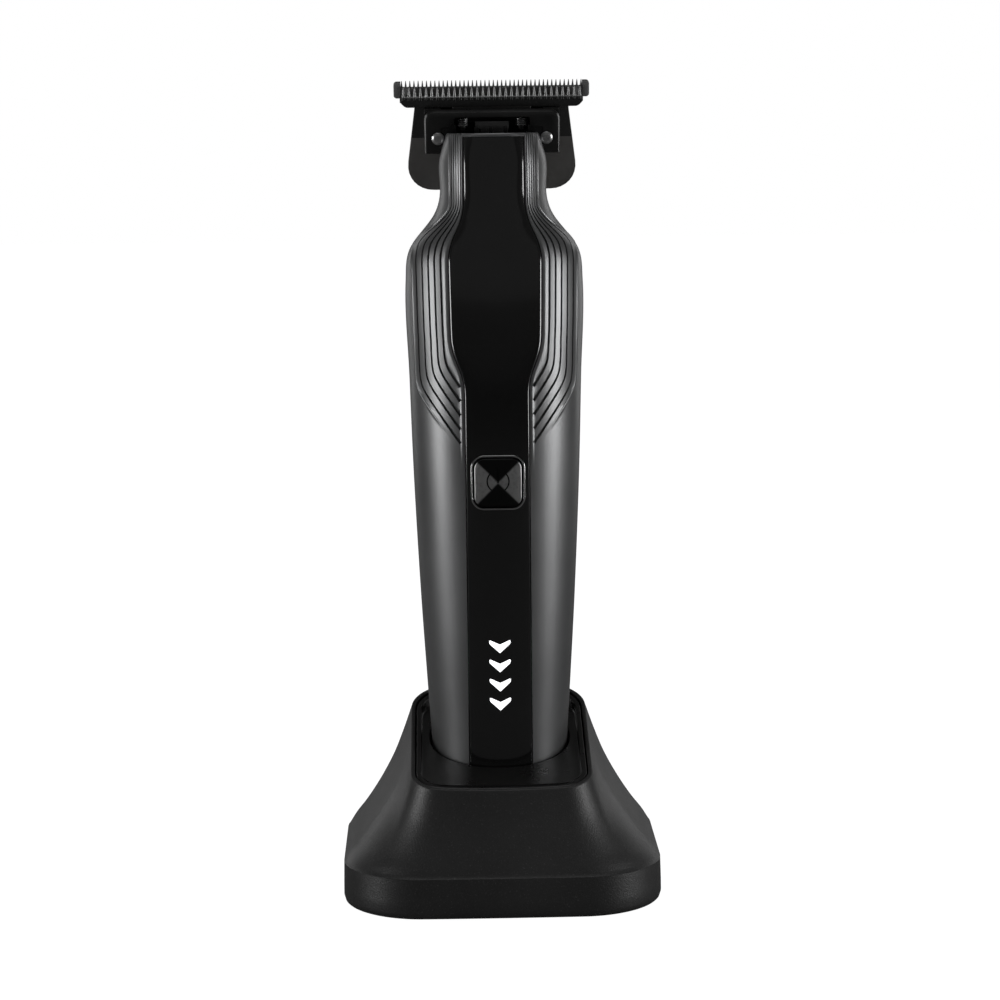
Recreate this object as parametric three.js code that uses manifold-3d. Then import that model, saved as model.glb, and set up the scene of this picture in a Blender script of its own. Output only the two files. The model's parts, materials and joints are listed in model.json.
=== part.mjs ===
// Cordless T-blade hair clipper standing in its charging dock.
// Millimetres, +Z up, front towards -Y. The origin is on the table, under the middle of the dock.
import * as THREE from 'three';
import { mergeVertices } from 'three/addons/utils/BufferGeometryUtils.js';
import Module from 'manifold-3d';

const wasm = await Module();
wasm.setup();

// ---- Driving dimensions -------------------------------------------------------------------

const gap = 0.3; // clearance between neighbouring pieces
const far = 60; // long enough to cut right through anything

// Clipper body at each height: half-width, and reach to the front and to the back.
const bodyStations = [
  { z: 18, width: 14.4, front: 13.5, back: 12.3 },
  { z: 33, width: 14.85, front: 14.1, back: 12.8 },
  { z: 46, width: 15.65, front: 14.6, back: 13.2 },
  { z: 64, width: 16.7, front: 15.3, back: 13.5 },
  { z: 91, width: 17.9, front: 16.0, back: 13.8 },
  { z: 112, width: 18.5, front: 15.8, back: 13.6 },
  { z: 133, width: 19.0, front: 14.7, back: 12.7 },
  { z: 139.6, width: 18.1, front: 13.9, back: 11.9 },
  { z: 147.2, width: 12.6, front: 12.7, back: 10.6 },
  { z: 150.5, width: 11.5, front: 12.2, back: 10.1 },
  { z: 158.5, width: 11.4, front: 11.3, back: 8.5 },
  { z: 164.2, width: 9.8, front: 10.8, back: 6.9 },
];
const bodyFoot = bodyStations[0].z;
const bodyTop = bodyStations.at(-1).z;
const bodyFloor = 2; // thickness of the closed lower end
const wall = { side: 1.6, front: 2.8, back: 1.6 };
const skin = { side: 0, front: 0, back: 0 };
const squareness = { front: 2.2, back: 2.4 }; // superellipse powers of the body's section

// Gloss panel let into the front: half-width at each height, from the foot to the neck.
const panelEdge = [
  [6.75, 20], [6.75, 112.4], [9.55, 119], [9.85, 140.4], [6.35, 147.4], [6.35, 163.4],
];
const panelThickness = 1.2;

const button = { z: 91.1, half: 5.05, corner: 2.1, proud: 0.5, travel: 0.8 };
const bezel = { outer: 5.85, inner: 5.35, proud: 0.3, depth: 1.6 };
const chevron = {
  top: 57.1, pitch: 4.2, halfWidth: 2.25, height: 2.85, middle: 1.8, armEnd: 0.8, count: 4,
};

// Blade set, in a frame that leans forward. Its origin is on the fixed blade's front face.
const head = { lean: THREE.MathUtils.degToRad(14), y: 7.6, z: 164.2 };
const fixedBlade = {
  thickness: 1.5, bottom: -13.0, bottomHalf: 18.6, waistHalf: 16.3, waist: 5.2, corner: 6.2,
  barHalf: 19.7, barBottom: 6.6, root: 9.7, tip: 11.4, pitch: 0.896, count: 44,
  lugOuter: 21, lugInner: 19.8, lugBottom: 7.7,
};
const movingBlade = {
  thickness: 1.5, half: 19.4, barBottom: 5.7, root: 7.0, tip: 10.5, pitch: 1.22, count: 32,
  tangHalf: 8.4, tangBottom: 0.9,
};
const bracket = {
  half: 14.5, legInner: 10.95, legBottom: -4.2, top: 5.4, depth: 3.2, rim: 1.3, recess: 1.2,
  windowHalf: 8.1, windowTop: 3.9, archTop: 1.9,
};
const bladeScrew = { x: 11.95, z: -0.7, headRadius: 0.95, shankRadius: 0.5 };
const spring = { x: 6.3, radius: 1.2, bottom: 1.6, top: 3.6, turns: 3 };
const stroke = 0.8; // the cutter moves this far to each side, as does the cam's pin

const motor = { y: -0.5, radius: 9, bottom: 112, top: 140 };
const battery = { y: 1.8, radius: 9, bottom: 36, top: 101 };
const board = { half: 6.5, bottom: 39, top: 101, back: -9.0, front: -10.0 };
const contact = { x: 7, y: 5, padRadius: 2.2, pinRadius: 0.8, pinTop: 17.7, pinTravel: 1.5 };
const housingScrews = [[10, 106.2], [-10, 106.2], [9.5, 28], [-9.5, 28]];

// Dock outlines: half-width, reach to front and back, and corner radius.
const dockFoot = { z: 0.8, width: 34.0, front: 32.0, back: 32.0, corner: 17 };
const dockBand = { z: 2.2, width: 34.2, front: 32.0, back: 32.0, corner: 17 };
const dockBandTop = { z: 9.4, width: 34.1, front: 31.5, back: 31.5, corner: 17 };
const dockCrease = { z: 9.8, width: 33.9, front: 31.1, back: 31.1, corner: 17 };
const dockRim = { width: 19.4, front: 26.0, back: 19.8, corner: 6, backCorner: 10.2 };
const rim = { height: 34.7, slope: 0.297 }; // the opening's plane, higher at the back
// How far the wall has drawn in from crease to rim, at each part of the way up.
const flare = [
  [0.09, 0.103], [0.19, 0.247], [0.3, 0.387], [0.42, 0.525], [0.6, 0.706], [0.8, 0.862], [1, 1],
];
const trayFloor = { height: 33.0, slope: 0.25 };
const dockWall = { foot: 2.4, rim: 0.9 };
const tray = { wall: 1.0, floor: 1.6, fit: 0.4, wellFloor: 1.5, lip: 0.25 };
const basePlate = { bottom: 0.8, top: 3.2 };
const dockScrews = [[26.5, 10], [-26.5, 10], [26.5, -10], [-26.5, -10]];
const dockFeet = [[23, 19], [-23, 19], [23, -19], [-23, -19]];
const foot = { radius: 4.2, height: 0.5 };
const dockBoard = { half: 10, front: -8, back: 27, bottom: 4.0, top: 5.2 };
const ballast = { x: [-19, 19], y: [-27, -13], z: [3.6, 9.6] };
const socket = {
  half: 4.45, halfHeight: 1.55, wall: 0.35, length: 6.8, boreDepth: 5.4, tongueHalf: 3.3,
};

// ---- Solids -------------------------------------------------------------------------------

function solid(geometry) {
  const bare = geometry.clone();
  bare.deleteAttribute('normal');
  bare.deleteAttribute('uv');
  const merged = mergeVertices(bare, 1e-5);
  return new wasm.Manifold(new wasm.Mesh({
    numProp: 3,
    vertProperties: new Float32Array(merged.attributes.position.array),
    triVerts: new Uint32Array(merged.index.array),
  }));
}

function geometryOf(shape) {
  const mesh = shape.getMesh();
  const geometry = new THREE.BufferGeometry();
  geometry.setAttribute('position', new THREE.BufferAttribute(mesh.vertProperties, 3));
  geometry.setIndex(new THREE.BufferAttribute(mesh.triVerts, 1));
  geometry.computeVertexNormals();
  return geometry;
}

const join = (first, ...rest) => rest.reduce((sum, next) => sum.add(next), first);
const cut = (first, ...rest) => rest.reduce((left, next) => left.subtract(next), first);

function block([x0, x1], [y0, y1], [z0, z1]) {
  const geometry = new THREE.BoxGeometry(x1 - x0, y1 - y0, z1 - z0);
  return solid(geometry.translate((x0 + x1) / 2, (y0 + y1) / 2, (z0 + z1) / 2));
}

// Upright rod between two heights.
function rod(radius, x, y, [z0, z1], sides = 24) {
  const geometry = new THREE.CylinderGeometry(radius, radius, z1 - z0, sides);
  return solid(geometry.rotateX(Math.PI / 2).translate(x, y, (z0 + z1) / 2));
}

// Rod that lies along Y.
function crossRod(radius, x, z, [y0, y1], sides = 16) {
  const geometry = new THREE.CylinderGeometry(radius, radius, y1 - y0, sides);
  return solid(geometry.translate(x, (y0 + y1) / 2, z));
}

// A top-view outline in X and Y, raised between two heights.
function upright(shape, [z0, z1], curveSegments = 4) {
  const options = { depth: z1 - z0, bevelEnabled: false, curveSegments };
  return solid(new THREE.ExtrudeGeometry(shape, options).translate(0, 0, z0));
}

// A front-view outline in X and Z, given its thickness along Y.
function plate(shape, [y0, y1], curveSegments = 5) {
  const options = { depth: y1 - y0, bevelEnabled: false, curveSegments };
  const geometry = new THREE.ExtrudeGeometry(shape, options);
  return solid(geometry.rotateX(Math.PI / 2).translate(0, y1, 0));
}

// Solid through a stack of rings, from the bottom up. Every ring has the same number of points.
function loft(rings) {
  const turn = (2 * Math.PI) / rings[0].length;
  const wheel = rings[0].map((_, i) => new THREE.Vector2(Math.cos(i * turn), Math.sin(i * turn)));
  const steps = rings.length - 1;
  const options = { depth: steps, steps, bevelEnabled: false };
  const geometry = new THREE.ExtrudeGeometry(new THREE.Shape(wheel), options);
  const position = geometry.attributes.position;
  for (let i = 0; i < position.count; i += 1) {
    const angle = Math.atan2(position.getY(i), position.getX(i));
    const ring = rings[Math.round(position.getZ(i))];
    position.setXYZ(i, ...ring[(Math.round(angle / turn) + ring.length) % ring.length]);
  }
  return solid(geometry);
}

// Smooth curve through a table of stations. Gives [width, front, back, ...] at any height.
function curveThrough(stations) {
  const keys = Object.keys(stations[0]).filter((key) => key !== 'z');
  const heights = stations.map((station) => station.z);
  const values = stations.flatMap((station) => keys.map((key) => station[key]));
  const curve = new THREE.CubicInterpolant(heights, values, keys.length);
  return (z) => Array.from(curve.evaluate(z));
}

const levelsBetween = (from, to, steps) =>
  Array.from({ length: steps + 1 }, (_, i) => from + ((to - from) * i) / steps);

// Everything above the plane through the X axis at this height, which climbs towards the back.
function above({ height, slope }) {
  const geometry = new THREE.BoxGeometry(200, 200, 100).translate(0, 0, 50);
  return solid(geometry.rotateX(Math.atan(slope)).translate(0, 0, height));
}

function roundedRectangle(halfWidth, halfHeight, radius, z = 0) {
  const shape = new THREE.Shape();
  const quarter = Math.PI / 2;
  [[1, 1], [-1, 1], [-1, -1], [1, -1]].forEach(([sx, sz], i) => {
    const x = sx * (halfWidth - radius);
    shape.absarc(x, z + sz * (halfHeight - radius), radius, i * quarter, (i + 1) * quarter);
  });
  shape.closePath();
  return shape;
}

const outlineOf = (points) => new THREE.Shape(points.map(([x, z]) => new THREE.Vector2(x, z)));

// Outline given by its right side, from the bottom up.
const mirroredShape = (rightSide) =>
  outlineOf([...rightSide, ...rightSide.map(([x, z]) => [-x, z]).reverse()]);

// ---- Outlines of body and dock -------------------------------------------------------------

const bodySize = curveThrough(bodyStations);
const sectionPoints = 28;
const cornerPoints = 7;

function bodyRing(z, inset) {
  const [width, front, back] = bodySize(z);
  return Array.from({ length: sectionPoints }, (_, i) => {
    const angle = (2 * Math.PI * i) / sectionPoints;
    const forward = Math.sin(angle) < 0;
    const power = 2 / (forward ? squareness.front : squareness.back);
    const reach = forward ? front - inset.front : back - inset.back;
    const x = Math.sign(Math.cos(angle)) * Math.abs(Math.cos(angle)) ** power;
    const y = Math.sign(Math.sin(angle)) * Math.abs(Math.sin(angle)) ** power;
    return new THREE.Vector3(x * (width - inset.side), y * reach, z);
  });
}

const shoulder = 130; // the outline changes faster above this height
const bodyLevels = (from, to) => (to < shoulder ? levelsBetween(from, to, 4)
  : [...levelsBetween(from, shoulder - 2, 6), ...levelsBetween(shoulder + 2, to, 10)]);
const bodySolid = (inset, from = bodyFoot, to = bodyTop) =>
  loft(bodyLevels(from, to).map((z) => bodyRing(z, inset)));

// Rounded rectangle in plan, inset all round. It is level where the outline states its height.
function dockRing({ z, width, front, back, corner, backCorner = corner }, inset, lift = 0) {
  const corners = [[1, 1], [-1, 1], [-1, -1], [1, -1]];
  return corners.flatMap(([sx, sy], quarter) => Array.from({ length: cornerPoints }, (_, i) => {
    const angle = (Math.PI / 2) * (quarter + i / (cornerPoints - 1));
    const reach = (sy > 0 ? back : front) - inset;
    const radius = (sy > 0 ? backCorner : corner) - inset / 2;
    const x = sx * (width - inset - radius) + radius * Math.cos(angle);
    const y = sy * (reach - radius) + radius * Math.sin(angle);
    return new THREE.Vector3(x, y, (z ?? rim.height + rim.slope * y) + lift);
  }));
}

// The dock's outer skin, or its hollow when it is inset and runs past both ends.
function dockSolid(inset = { foot: 0, rim: 0 }, overrun = 0) {
  const crease = dockRing(dockCrease, inset.foot);
  const opening = dockRing(dockRim, inset.rim);
  const climb = flare.map(([up, drawnIn]) => crease.map((low, i) => new THREE.Vector3(
    THREE.MathUtils.lerp(low.x, opening[i].x, drawnIn),
    THREE.MathUtils.lerp(low.y, opening[i].y, drawnIn),
    THREE.MathUtils.lerp(low.z, opening[i].z, up),
  )));
  const rings = [
    dockRing(dockFoot, inset.foot, -overrun), dockRing(dockBand, inset.foot),
    dockRing(dockBandTop, inset.foot), crease, ...climb,
  ];
  return loft(overrun > 0 ? [...rings, dockRing(dockRim, inset.rim, overrun)] : rings);
}

const insetBy = (distance) => ({ side: distance, front: distance, back: distance });
const panelShape = (grow) => {
  const last = panelEdge.length - 1;
  return mirroredShape(panelEdge.map(([x, z], i) => {
    const lift = i === 0 ? -grow : i === last ? grow : 0;
    return [x + grow, z + lift];
  }));
};

// ---- Colours ------------------------------------------------------------------------------

const finish = {
  satinShell: { color: 0x3a3c3e, roughness: 0.45, metalness: 0.4 },
  glossBlack: { color: 0x0c0c0e, roughness: 0.12, metalness: 0 },
  button: { color: 0x1b1c1e, roughness: 0.3, metalness: 0.7 },
  bezel: { color: 0x8c8f92, roughness: 0.2, metalness: 1 },
  light: { color: 0xffffff, roughness: 0.4, metalness: 0 },
  blade: { color: 0x202123, roughness: 0.35, metalness: 0.9 },
  bracket: { color: 0x121315, roughness: 0.35, metalness: 0 },
  steel: { color: 0x9a9da0, roughness: 0.3, metalness: 1 },
  gold: { color: 0xc9a455, roughness: 0.3, metalness: 1 },
  circuit: { color: 0x14402a, roughness: 0.5, metalness: 0 },
  cell: { color: 0x2c5f8a, roughness: 0.4, metalness: 0 },
  nylon: { color: 0x2a2a2c, roughness: 0.6, metalness: 0 },
  whiteNylon: { color: 0xd8d6cf, roughness: 0.5, metalness: 0 },
  rubber: { color: 0x161616, roughness: 0.9, metalness: 0 },
  matteDock: { color: 0x2a2b2d, roughness: 0.65, metalness: 0 },
};

const group = new THREE.Group();
const clipper = new THREE.Group();
const dock = new THREE.Group();
const bladeSet = new THREE.Group();
bladeSet.position.set(0, head.y, head.z);
bladeSet.rotation.x = head.lean;
clipper.add(bladeSet);
group.add(clipper, dock);

function piece(parent, name, shape, look) {
  const mesh = new THREE.Mesh(geometryOf(shape), new THREE.MeshStandardMaterial(look));
  mesh.name = name;
  parent.add(mesh);
}

// ---- Clipper housing ------------------------------------------------------------------------

const charge = { y: -5.5, bottom: 18.4 };
const bossRadius = 3.2;
const bodyCore = cut(
  bodySolid(wall, bodyFoot, bodyTop + 6),
  block([-far, far], [-far, far], [0, bodyFoot + bodyFloor]),
);
const underPanel = bodySolid(insetBy(panelThickness + gap), bodyFoot - 1, bodyTop + 1);
const buttonHole = (half) => {
  const corner = button.corner + half - button.half;
  return plate(roundedRectangle(half, half + 0.1, corner, button.z), [-far, -8]);
};
const lightSlot = { half: 3.3, bottom: 40.6, top: 58.4 };

function housing() {
  const outer = bodySolid(skin);
  const inside = bodySolid(insetBy(0.5));
  const bossBlanks = housingScrews.map(([x, z]) => crossRod(bossRadius, x, z, [-20, 20]));
  const bosses = join(...bossBlanks).intersect(inside);
  const walls = join(cut(outer, bodyCore), bosses);
  const seam = gap / 2;
  const front = walls.intersect(block([-far, far], [-far, -seam], [0, 200]));
  const back = walls.intersect(block([-far, far], [seam, far], [0, 200]));
  return { front, back };
}

function frontShell(front) {
  const panelBed = cut(plate(panelShape(gap), [-far, -3]), underPanel);
  const pilots = housingScrews.map(([x, z]) => crossRod(1.3, x, z, [-8, 1]));
  const slot = block([-lightSlot.half, lightSlot.half], [-far, -8], [lightSlot.bottom, lightSlot.top]);
  const inlet = roundedRectangle(socket.half + gap, socket.halfHeight + gap, 1.5);
  const inletHole = upright(inlet, [bodyFoot - 1, bodyFoot + 4]).translate([0, charge.y, 0]);
  return cut(front, panelBed, buttonHole(bezel.outer + gap), slot, inletHole, ...pilots);
}

function rearShell(back) {
  const holes = housingScrews.map(([x, z]) => crossRod(1.3, x, z, [0, 8]));
  const heads = housingScrews.map(([x, z]) => crossRod(2.3, x, z, [3.6, 20]));
  const pads = [-1, 1].map((side) =>
    rod(contact.padRadius + gap, side * contact.x, contact.y, [bodyFoot - 1, bodyFoot + 1]));
  return cut(back, ...holes, ...heads, ...pads);
}

const { front, back } = housing();
piece(clipper, 'front_shell', frontShell(front), finish.satinShell);
piece(clipper, 'rear_shell', rearShell(back), finish.satinShell);

housingScrews.forEach(([x, z], i) => {
  const screw = join(crossRod(2, x, z, [3.9, 5.4]), crossRod(1, x, z, [-6.5, 4.5], 8));
  piece(clipper, `housing_screw_${i + 1}`, screw, finish.steel);
});

// ---- Front panel, button and charge lights ---------------------------------------------------

function chevronPlate(index, grow, reach) {
  const { halfWidth, height, middle, armEnd } = chevron;
  const top = chevron.top - index * chevron.pitch;
  const notch = top - (height - middle) + grow;
  const [armTop, armFoot] = [top + 1.5 * grow, top - armEnd - grow];
  const side = halfWidth + grow;
  return plate(outlineOf([
    [0, notch], [-side, armTop], [-side, armFoot], [0, top - height - grow], [side, armFoot], [side, armTop],
  ]), reach);
}

const chevrons = (grow, reach) =>
  join(...levelsBetween(0, chevron.count - 1, chevron.count - 1).map((i) => chevronPlate(i, grow, reach)));

function frontPanel() {
  const layer = cut(bodySolid(skin), bodySolid(insetBy(panelThickness), bodyFoot - 1, bodyTop + 1));
  const panel = plate(panelShape(0), [-far, -3]).intersect(layer);
  return cut(panel, buttonHole(bezel.outer + gap), chevrons(gap, [-far, -8]));
}

function lightGuide() {
  const bar = block([0.4 - lightSlot.half, lightSlot.half - 0.4], [-12.5, -11.5],
    [lightSlot.bottom + 0.5, lightSlot.top - 0.5]);
  return join(chevrons(0, [-far, -12.3]).intersect(bodySolid(skin)), bar);
}

const roundedSquare = (half, corner, reach) =>
  plate(roundedRectangle(half, half + 0.1, corner, button.z), reach);
const panelFace = -bodySize(button.z)[1];

function buttonBezel() {
  const reach = [panelFace - bezel.proud, panelFace - bezel.proud + bezel.depth];
  const outer = roundedSquare(bezel.outer, button.corner + bezel.outer - button.half, reach);
  return cut(outer, roundedSquare(bezel.inner, button.corner + 0.3, [-far, 0]));
}

function powerButton() {
  const face = panelFace - button.proud;
  const key = roundedSquare(button.half, button.corner, [face, face + 2.4]);
  const flange = roundedSquare(bezel.outer - 0.1, button.corner + 0.7, [face + 2.2, face + 2.7]);
  return join(key, flange, crossRod(1.4, 0, button.z, [face + 2.5, -13.3]));
}

const boardFront = board.front;
const ledHeights = levelsBetween(0, chevron.count - 1, chevron.count - 1)
  .map((i) => chevron.top - i * chevron.pitch - chevron.height / 2);

piece(clipper, 'front_panel', frontPanel(), finish.glossBlack);
piece(clipper, 'button_bezel', buttonBezel(), finish.bezel);
piece(clipper, 'power_button', powerButton(), finish.button);
piece(clipper, 'light_guide', lightGuide(), finish.light);
ledHeights.forEach((z, i) => {
  const led = block([-0.8, 0.8], [boardFront - 1.1, boardFront - gap], [z - 0.4, z + 0.4]);
  piece(clipper, `led_${i + 1}`, led, finish.light);
});

// ---- Electronics, battery and frame ----------------------------------------------------------

function tactSwitch() {
  const housingBlock = block([-3, 3], [-12, boardFront - gap], [button.z - 3, button.z + 3]);
  return cut(housingBlock, crossRod(1.7, 0, button.z, [-far, -10.8]));
}

function usbSocket() {
  const shellShape = (grow) => roundedRectangle(
    socket.half - grow, socket.halfHeight - grow, socket.halfHeight - grow - 0.05,
  );
  const can = upright(shellShape(0), [0, socket.length]);
  const bore = upright(shellShape(socket.wall), [-1, socket.boreDepth]);
  const tongueReach = [0.8, socket.boreDepth + 0.2];
  const tongue = block([-socket.tongueHalf, socket.tongueHalf], [-0.35, 0.35], tongueReach);
  return join(cut(can, bore), tongue);
}

const carrier = {
  half: 8.4, front: -8.7, thickness: 1.1, back: 8.3, shelves: [[33.4, 35.4], [101.6, 103.4]],
  strapHalf: 4, strapFront: -10.8, strapThickness: 0.9, stepTop: 106, saddles: [[113, 117], [131, 135]],
};

// Carrier between the circuit board and the battery, with saddles round the motor's front half.
function innerFrame() {
  const { half, front, thickness, back, strapHalf, strapFront, strapThickness } = carrier;
  const [lower, upper] = [carrier.shelves[0][0], carrier.shelves[1][1]];
  const inner = front + thickness;
  const spine = block([-half, half], [front, inner], [lower, upper]);
  const shelves = carrier.shelves.map((z) => block([-half, half], [front, back], z));
  const bottom = upper - 1.4;
  const step = block([-strapHalf, strapHalf], [strapFront, inner], [bottom, carrier.stepTop]);
  const strap = block([-strapHalf, strapHalf], [strapFront, strapFront + strapThickness],
    [bottom, carrier.saddles[1][1]]);
  const bore = rod(motor.radius + gap, 0, motor.y, [107, 140], 32);
  const saddles = carrier.saddles.map((z) =>
    rod(motor.radius + gap + 1, 0, motor.y, z, 32)
      .intersect(block([-far, far], [-far, motor.y], z)));
  const notches = housingScrews.map(([x, z]) => crossRod(bossRadius + gap, x, z, [-20, 20]));
  return cut(join(spine, step, strap, ...shelves, ...saddles), bore, ...notches);
}

piece(clipper, 'main_board', block([-board.half, board.half], [board.front, board.back],
  [board.bottom, board.top]), finish.circuit);
piece(clipper, 'tact_switch', tactSwitch(), finish.nylon);
piece(clipper, 'switch_plunger', crossRod(1.4, 0, button.z, [-13, -11.9]), finish.nylon);
piece(clipper, 'battery_cell', rod(battery.radius, 0, battery.y, [battery.bottom, battery.top], 32),
  finish.cell);
piece(clipper, 'inner_frame', innerFrame(), finish.nylon);
piece(clipper, 'charge_socket', usbSocket().translate([0, charge.y, charge.bottom]), finish.steel);
[['left', -1], ['right', 1]].forEach(([name, side]) => {
  const reach = [bodyFoot, bodyFoot + 0.7];
  const pad = rod(contact.padRadius, side * contact.x, contact.y, reach);
  piece(clipper, `contact_pad_${name}`, pad, finish.gold);
});

// ---- Motor and drive -------------------------------------------------------------------------

const cam = { radius: 3.4, bottom: 143.6, top: 148.6, pinRadius: 1, pinTop: 153.2 };
const bearing = { inner: 1.3, outer: 2, bottom: 149, top: 152.9 };
const shaft = { radius: 1, bottom: 130, top: 147.5 };
const fork = {
  slotHalf: bearing.outer + 2 * stroke + gap, prong: 1.7, bottom: 149.3, top: 152.6,
  front: -4.2, back: 4.8, bridge: 2.9, stemHalf: 2.4, padHalf: 3.6, padTop: 166.6,
};

function motorCan() {
  const can = rod(motor.radius, 0, motor.y, [motor.bottom, motor.top], 32);
  return cut(can, rod(shaft.radius + gap, 0, motor.y, [shaft.bottom - 0.5, motor.top + 1], 12));
}

function motorDamper() {
  const reach = [motor.top + gap, motor.top + gap + 2];
  return cut(rod(8.6, 0, motor.y, reach, 32), rod(3.2, 0, motor.y, [motor.top, motor.top + 4]));
}

function eccentricCam() {
  const collar = rod(cam.radius, 0, motor.y, [cam.bottom, cam.top]);
  const bore = rod(shaft.radius + gap, 0, motor.y, [cam.bottom - 1, shaft.top + gap], 12);
  const pin = rod(cam.pinRadius, stroke, motor.y, [cam.top - 0.5, cam.pinTop], 12);
  return join(cut(collar, bore), pin);
}

function eccentricBearing() {
  const reach = [bearing.bottom, bearing.top];
  const hollow = rod(bearing.inner, stroke, motor.y, [cam.bottom, cam.pinTop + 1], 16);
  return cut(rod(bearing.outer, stroke, motor.y, reach, 20), hollow);
}

// Fork that straddles the bearing, with a stem up to a pad that pushes the cutter.
function camFollower() {
  const outer = fork.slotHalf + fork.prong;
  const reach = [fork.front, fork.back];
  const body = block([-outer, outer], reach, [fork.bottom, fork.top]);
  const slot = block([-fork.slotHalf, fork.slotHalf], [-far, fork.bridge], [fork.bottom - 1, fork.top + 1]);
  const stem = block([-fork.stemHalf, fork.stemHalf], [3.1, fork.back], [fork.bottom, fork.padTop]);
  const pad = block([-fork.padHalf, fork.padHalf], [3.1, fork.back], [165, fork.padTop]);
  return join(cut(body, slot), stem, pad);
}

piece(clipper, 'motor_can', motorCan(), finish.steel);
piece(clipper, 'motor_end_cap', rod(8.4, 0, motor.y, [109.8, motor.bottom - gap], 32), finish.nylon);
piece(clipper, 'motor_damper', motorDamper(), finish.rubber);
piece(clipper, 'motor_shaft', rod(shaft.radius, 0, motor.y, [shaft.bottom, shaft.top], 12), finish.steel);
piece(clipper, 'eccentric_cam', eccentricCam(), finish.whiteNylon);
piece(clipper, 'eccentric_bearing', eccentricBearing(), finish.steel);
piece(clipper, 'cam_follower', camFollower(), finish.nylon);

// ---- Blade set -------------------------------------------------------------------------------

// Row of pointed teeth from left to right, as points of an outline that runs along X.
function toothRow({ count, pitch, root, tip }, rootHalf, tipHalf) {
  const first = (-(count - 1) * pitch) / 2;
  return Array.from({ length: count }, (_, i) => first + i * pitch).flatMap((x) => [
    [x - rootHalf, root], [x - tipHalf, tip], [x + tipHalf, tip], [x + rootHalf, root],
  ]);
}

function fixedBladeSolid() {
  const { bottom, bottomHalf, waist, waistHalf, corner, thickness } = fixedBlade;
  const { barHalf, barBottom, lugOuter, lugInner, lugBottom, tip } = fixedBlade;
  const quarter = Math.PI / 2;
  const tang = new THREE.Shape();
  tang.moveTo(waistHalf, waist + 3);
  tang.lineTo(-waistHalf, waist + 3);
  tang.lineTo(-waistHalf, waist);
  tang.absarc(-bottomHalf + corner, bottom + corner, corner, 2 * quarter, 3 * quarter);
  tang.absarc(bottomHalf - corner, bottom + corner, corner, 3 * quarter, 4 * quarter);
  tang.lineTo(waistHalf, waist);
  const teeth = toothRow(fixedBlade, 0.3, 0.07);
  const bar = outlineOf([[-barHalf, barBottom], [-barHalf, fixedBlade.root], ...teeth,
    [barHalf, fixedBlade.root], [barHalf, barBottom]]);
  const reach = [0, thickness];
  const lugs = [-1, 1].map((side) => {
    const middle = (lugInner + lugOuter) / 2;
    const half = (lugOuter - lugInner) / 2 + 0.15;
    const lug = roundedRectangle(half, (tip - 0.4 - lugBottom) / 2, 0.6, (tip - 0.4 + lugBottom) / 2);
    return plate(lug, reach).translate([side * (middle - 0.15), 0, 0]);
  });
  const holes = [-1, 1].map((side) =>
    crossRod(bladeScrew.shankRadius + gap, side * bladeScrew.x, bladeScrew.z, [-1, 3], 12));
  return cut(join(plate(tang, reach), plate(bar, reach), ...lugs), ...holes);
}

function movingBladeSolid() {
  const { half, barBottom, root, thickness, tangHalf, tangBottom } = movingBlade;
  const teeth = toothRow(movingBlade, 0.42, 0.16);
  const outline = outlineOf([
    [-tangHalf, tangBottom], [-tangHalf, barBottom], [-half + 0.8, barBottom], [-half, barBottom + 0.8],
    [-half, root], ...teeth, [half, root], [half, barBottom + 0.8], [half - 0.8, barBottom],
    [tangHalf, barBottom], [tangHalf, tangBottom],
  ]);
  return plate(outline, [-thickness - gap, -gap]);
}

// Arch over the neck: a raised rim round a recessed face, open in the middle for the drive.
function headBracket() {
  const { half, legInner, legBottom, top, depth, rim: edge, recess } = bracket;
  const { windowHalf, windowTop, archTop } = bracket;
  const back = -movingBlade.thickness - 2 * gap;
  const front = back - depth;
  const body = plate(mirroredShape([[half, legBottom], [half, top - 1.2], [half - 1.2, top]]), [front, back]);
  const legs = [-1, 1].map((side) => {
    const x = side > 0 ? [legInner, half] : [-half, -legInner];
    return block(x, [back - 0.5, -gap], [legBottom, barClearance]);
  });
  const sunk = block([-half + edge, half - edge], [front - 1, front + recess], [legBottom - 1, top - edge]);
  const gapBelow = block([-legInner, legInner], [-far, far], [legBottom - 1, archTop]);
  const window = block([-windowHalf, windowHalf], [-far, far], [0, windowTop]);
  const holes = [-1, 1].map((side) =>
    crossRod(bladeScrew.shankRadius + gap, side * bladeScrew.x, bladeScrew.z, [-far, far], 12));
  return cut(join(body, ...legs), sunk, gapBelow, window, ...holes);
}

function bladeScrewSolid(side) {
  const seat = -movingBlade.thickness - 2 * gap - bracket.depth + bracket.recess - gap;
  const x = side * bladeScrew.x;
  return join(
    crossRod(bladeScrew.headRadius, x, bladeScrew.z, [seat - 0.8, seat]),
    crossRod(bladeScrew.shankRadius, x, bladeScrew.z, [seat - 0.4, 1.2], 12),
  );
}

// Coil spring as a stack of rounded turns.
function tensionSpring(side) {
  const { radius, bottom, top, turns } = spring;
  const pitch = (top - bottom) / turns;
  const profile = [new THREE.Vector2(0, bottom)];
  for (let i = 0; i < turns; i += 1) {
    const z = bottom + i * pitch;
    profile.push(new THREE.Vector2(radius - 0.3, z), new THREE.Vector2(radius, z + pitch / 2));
  }
  profile.push(new THREE.Vector2(radius - 0.3, top), new THREE.Vector2(0, top));
  const lathe = new THREE.LatheGeometry(profile, 12).rotateX(Math.PI / 2);
  return solid(lathe).translate([side * spring.x, springY, 0]);
}

const barClearance = movingBlade.barBottom - gap;
const springY = -movingBlade.thickness - 2 * gap - spring.radius;

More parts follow.
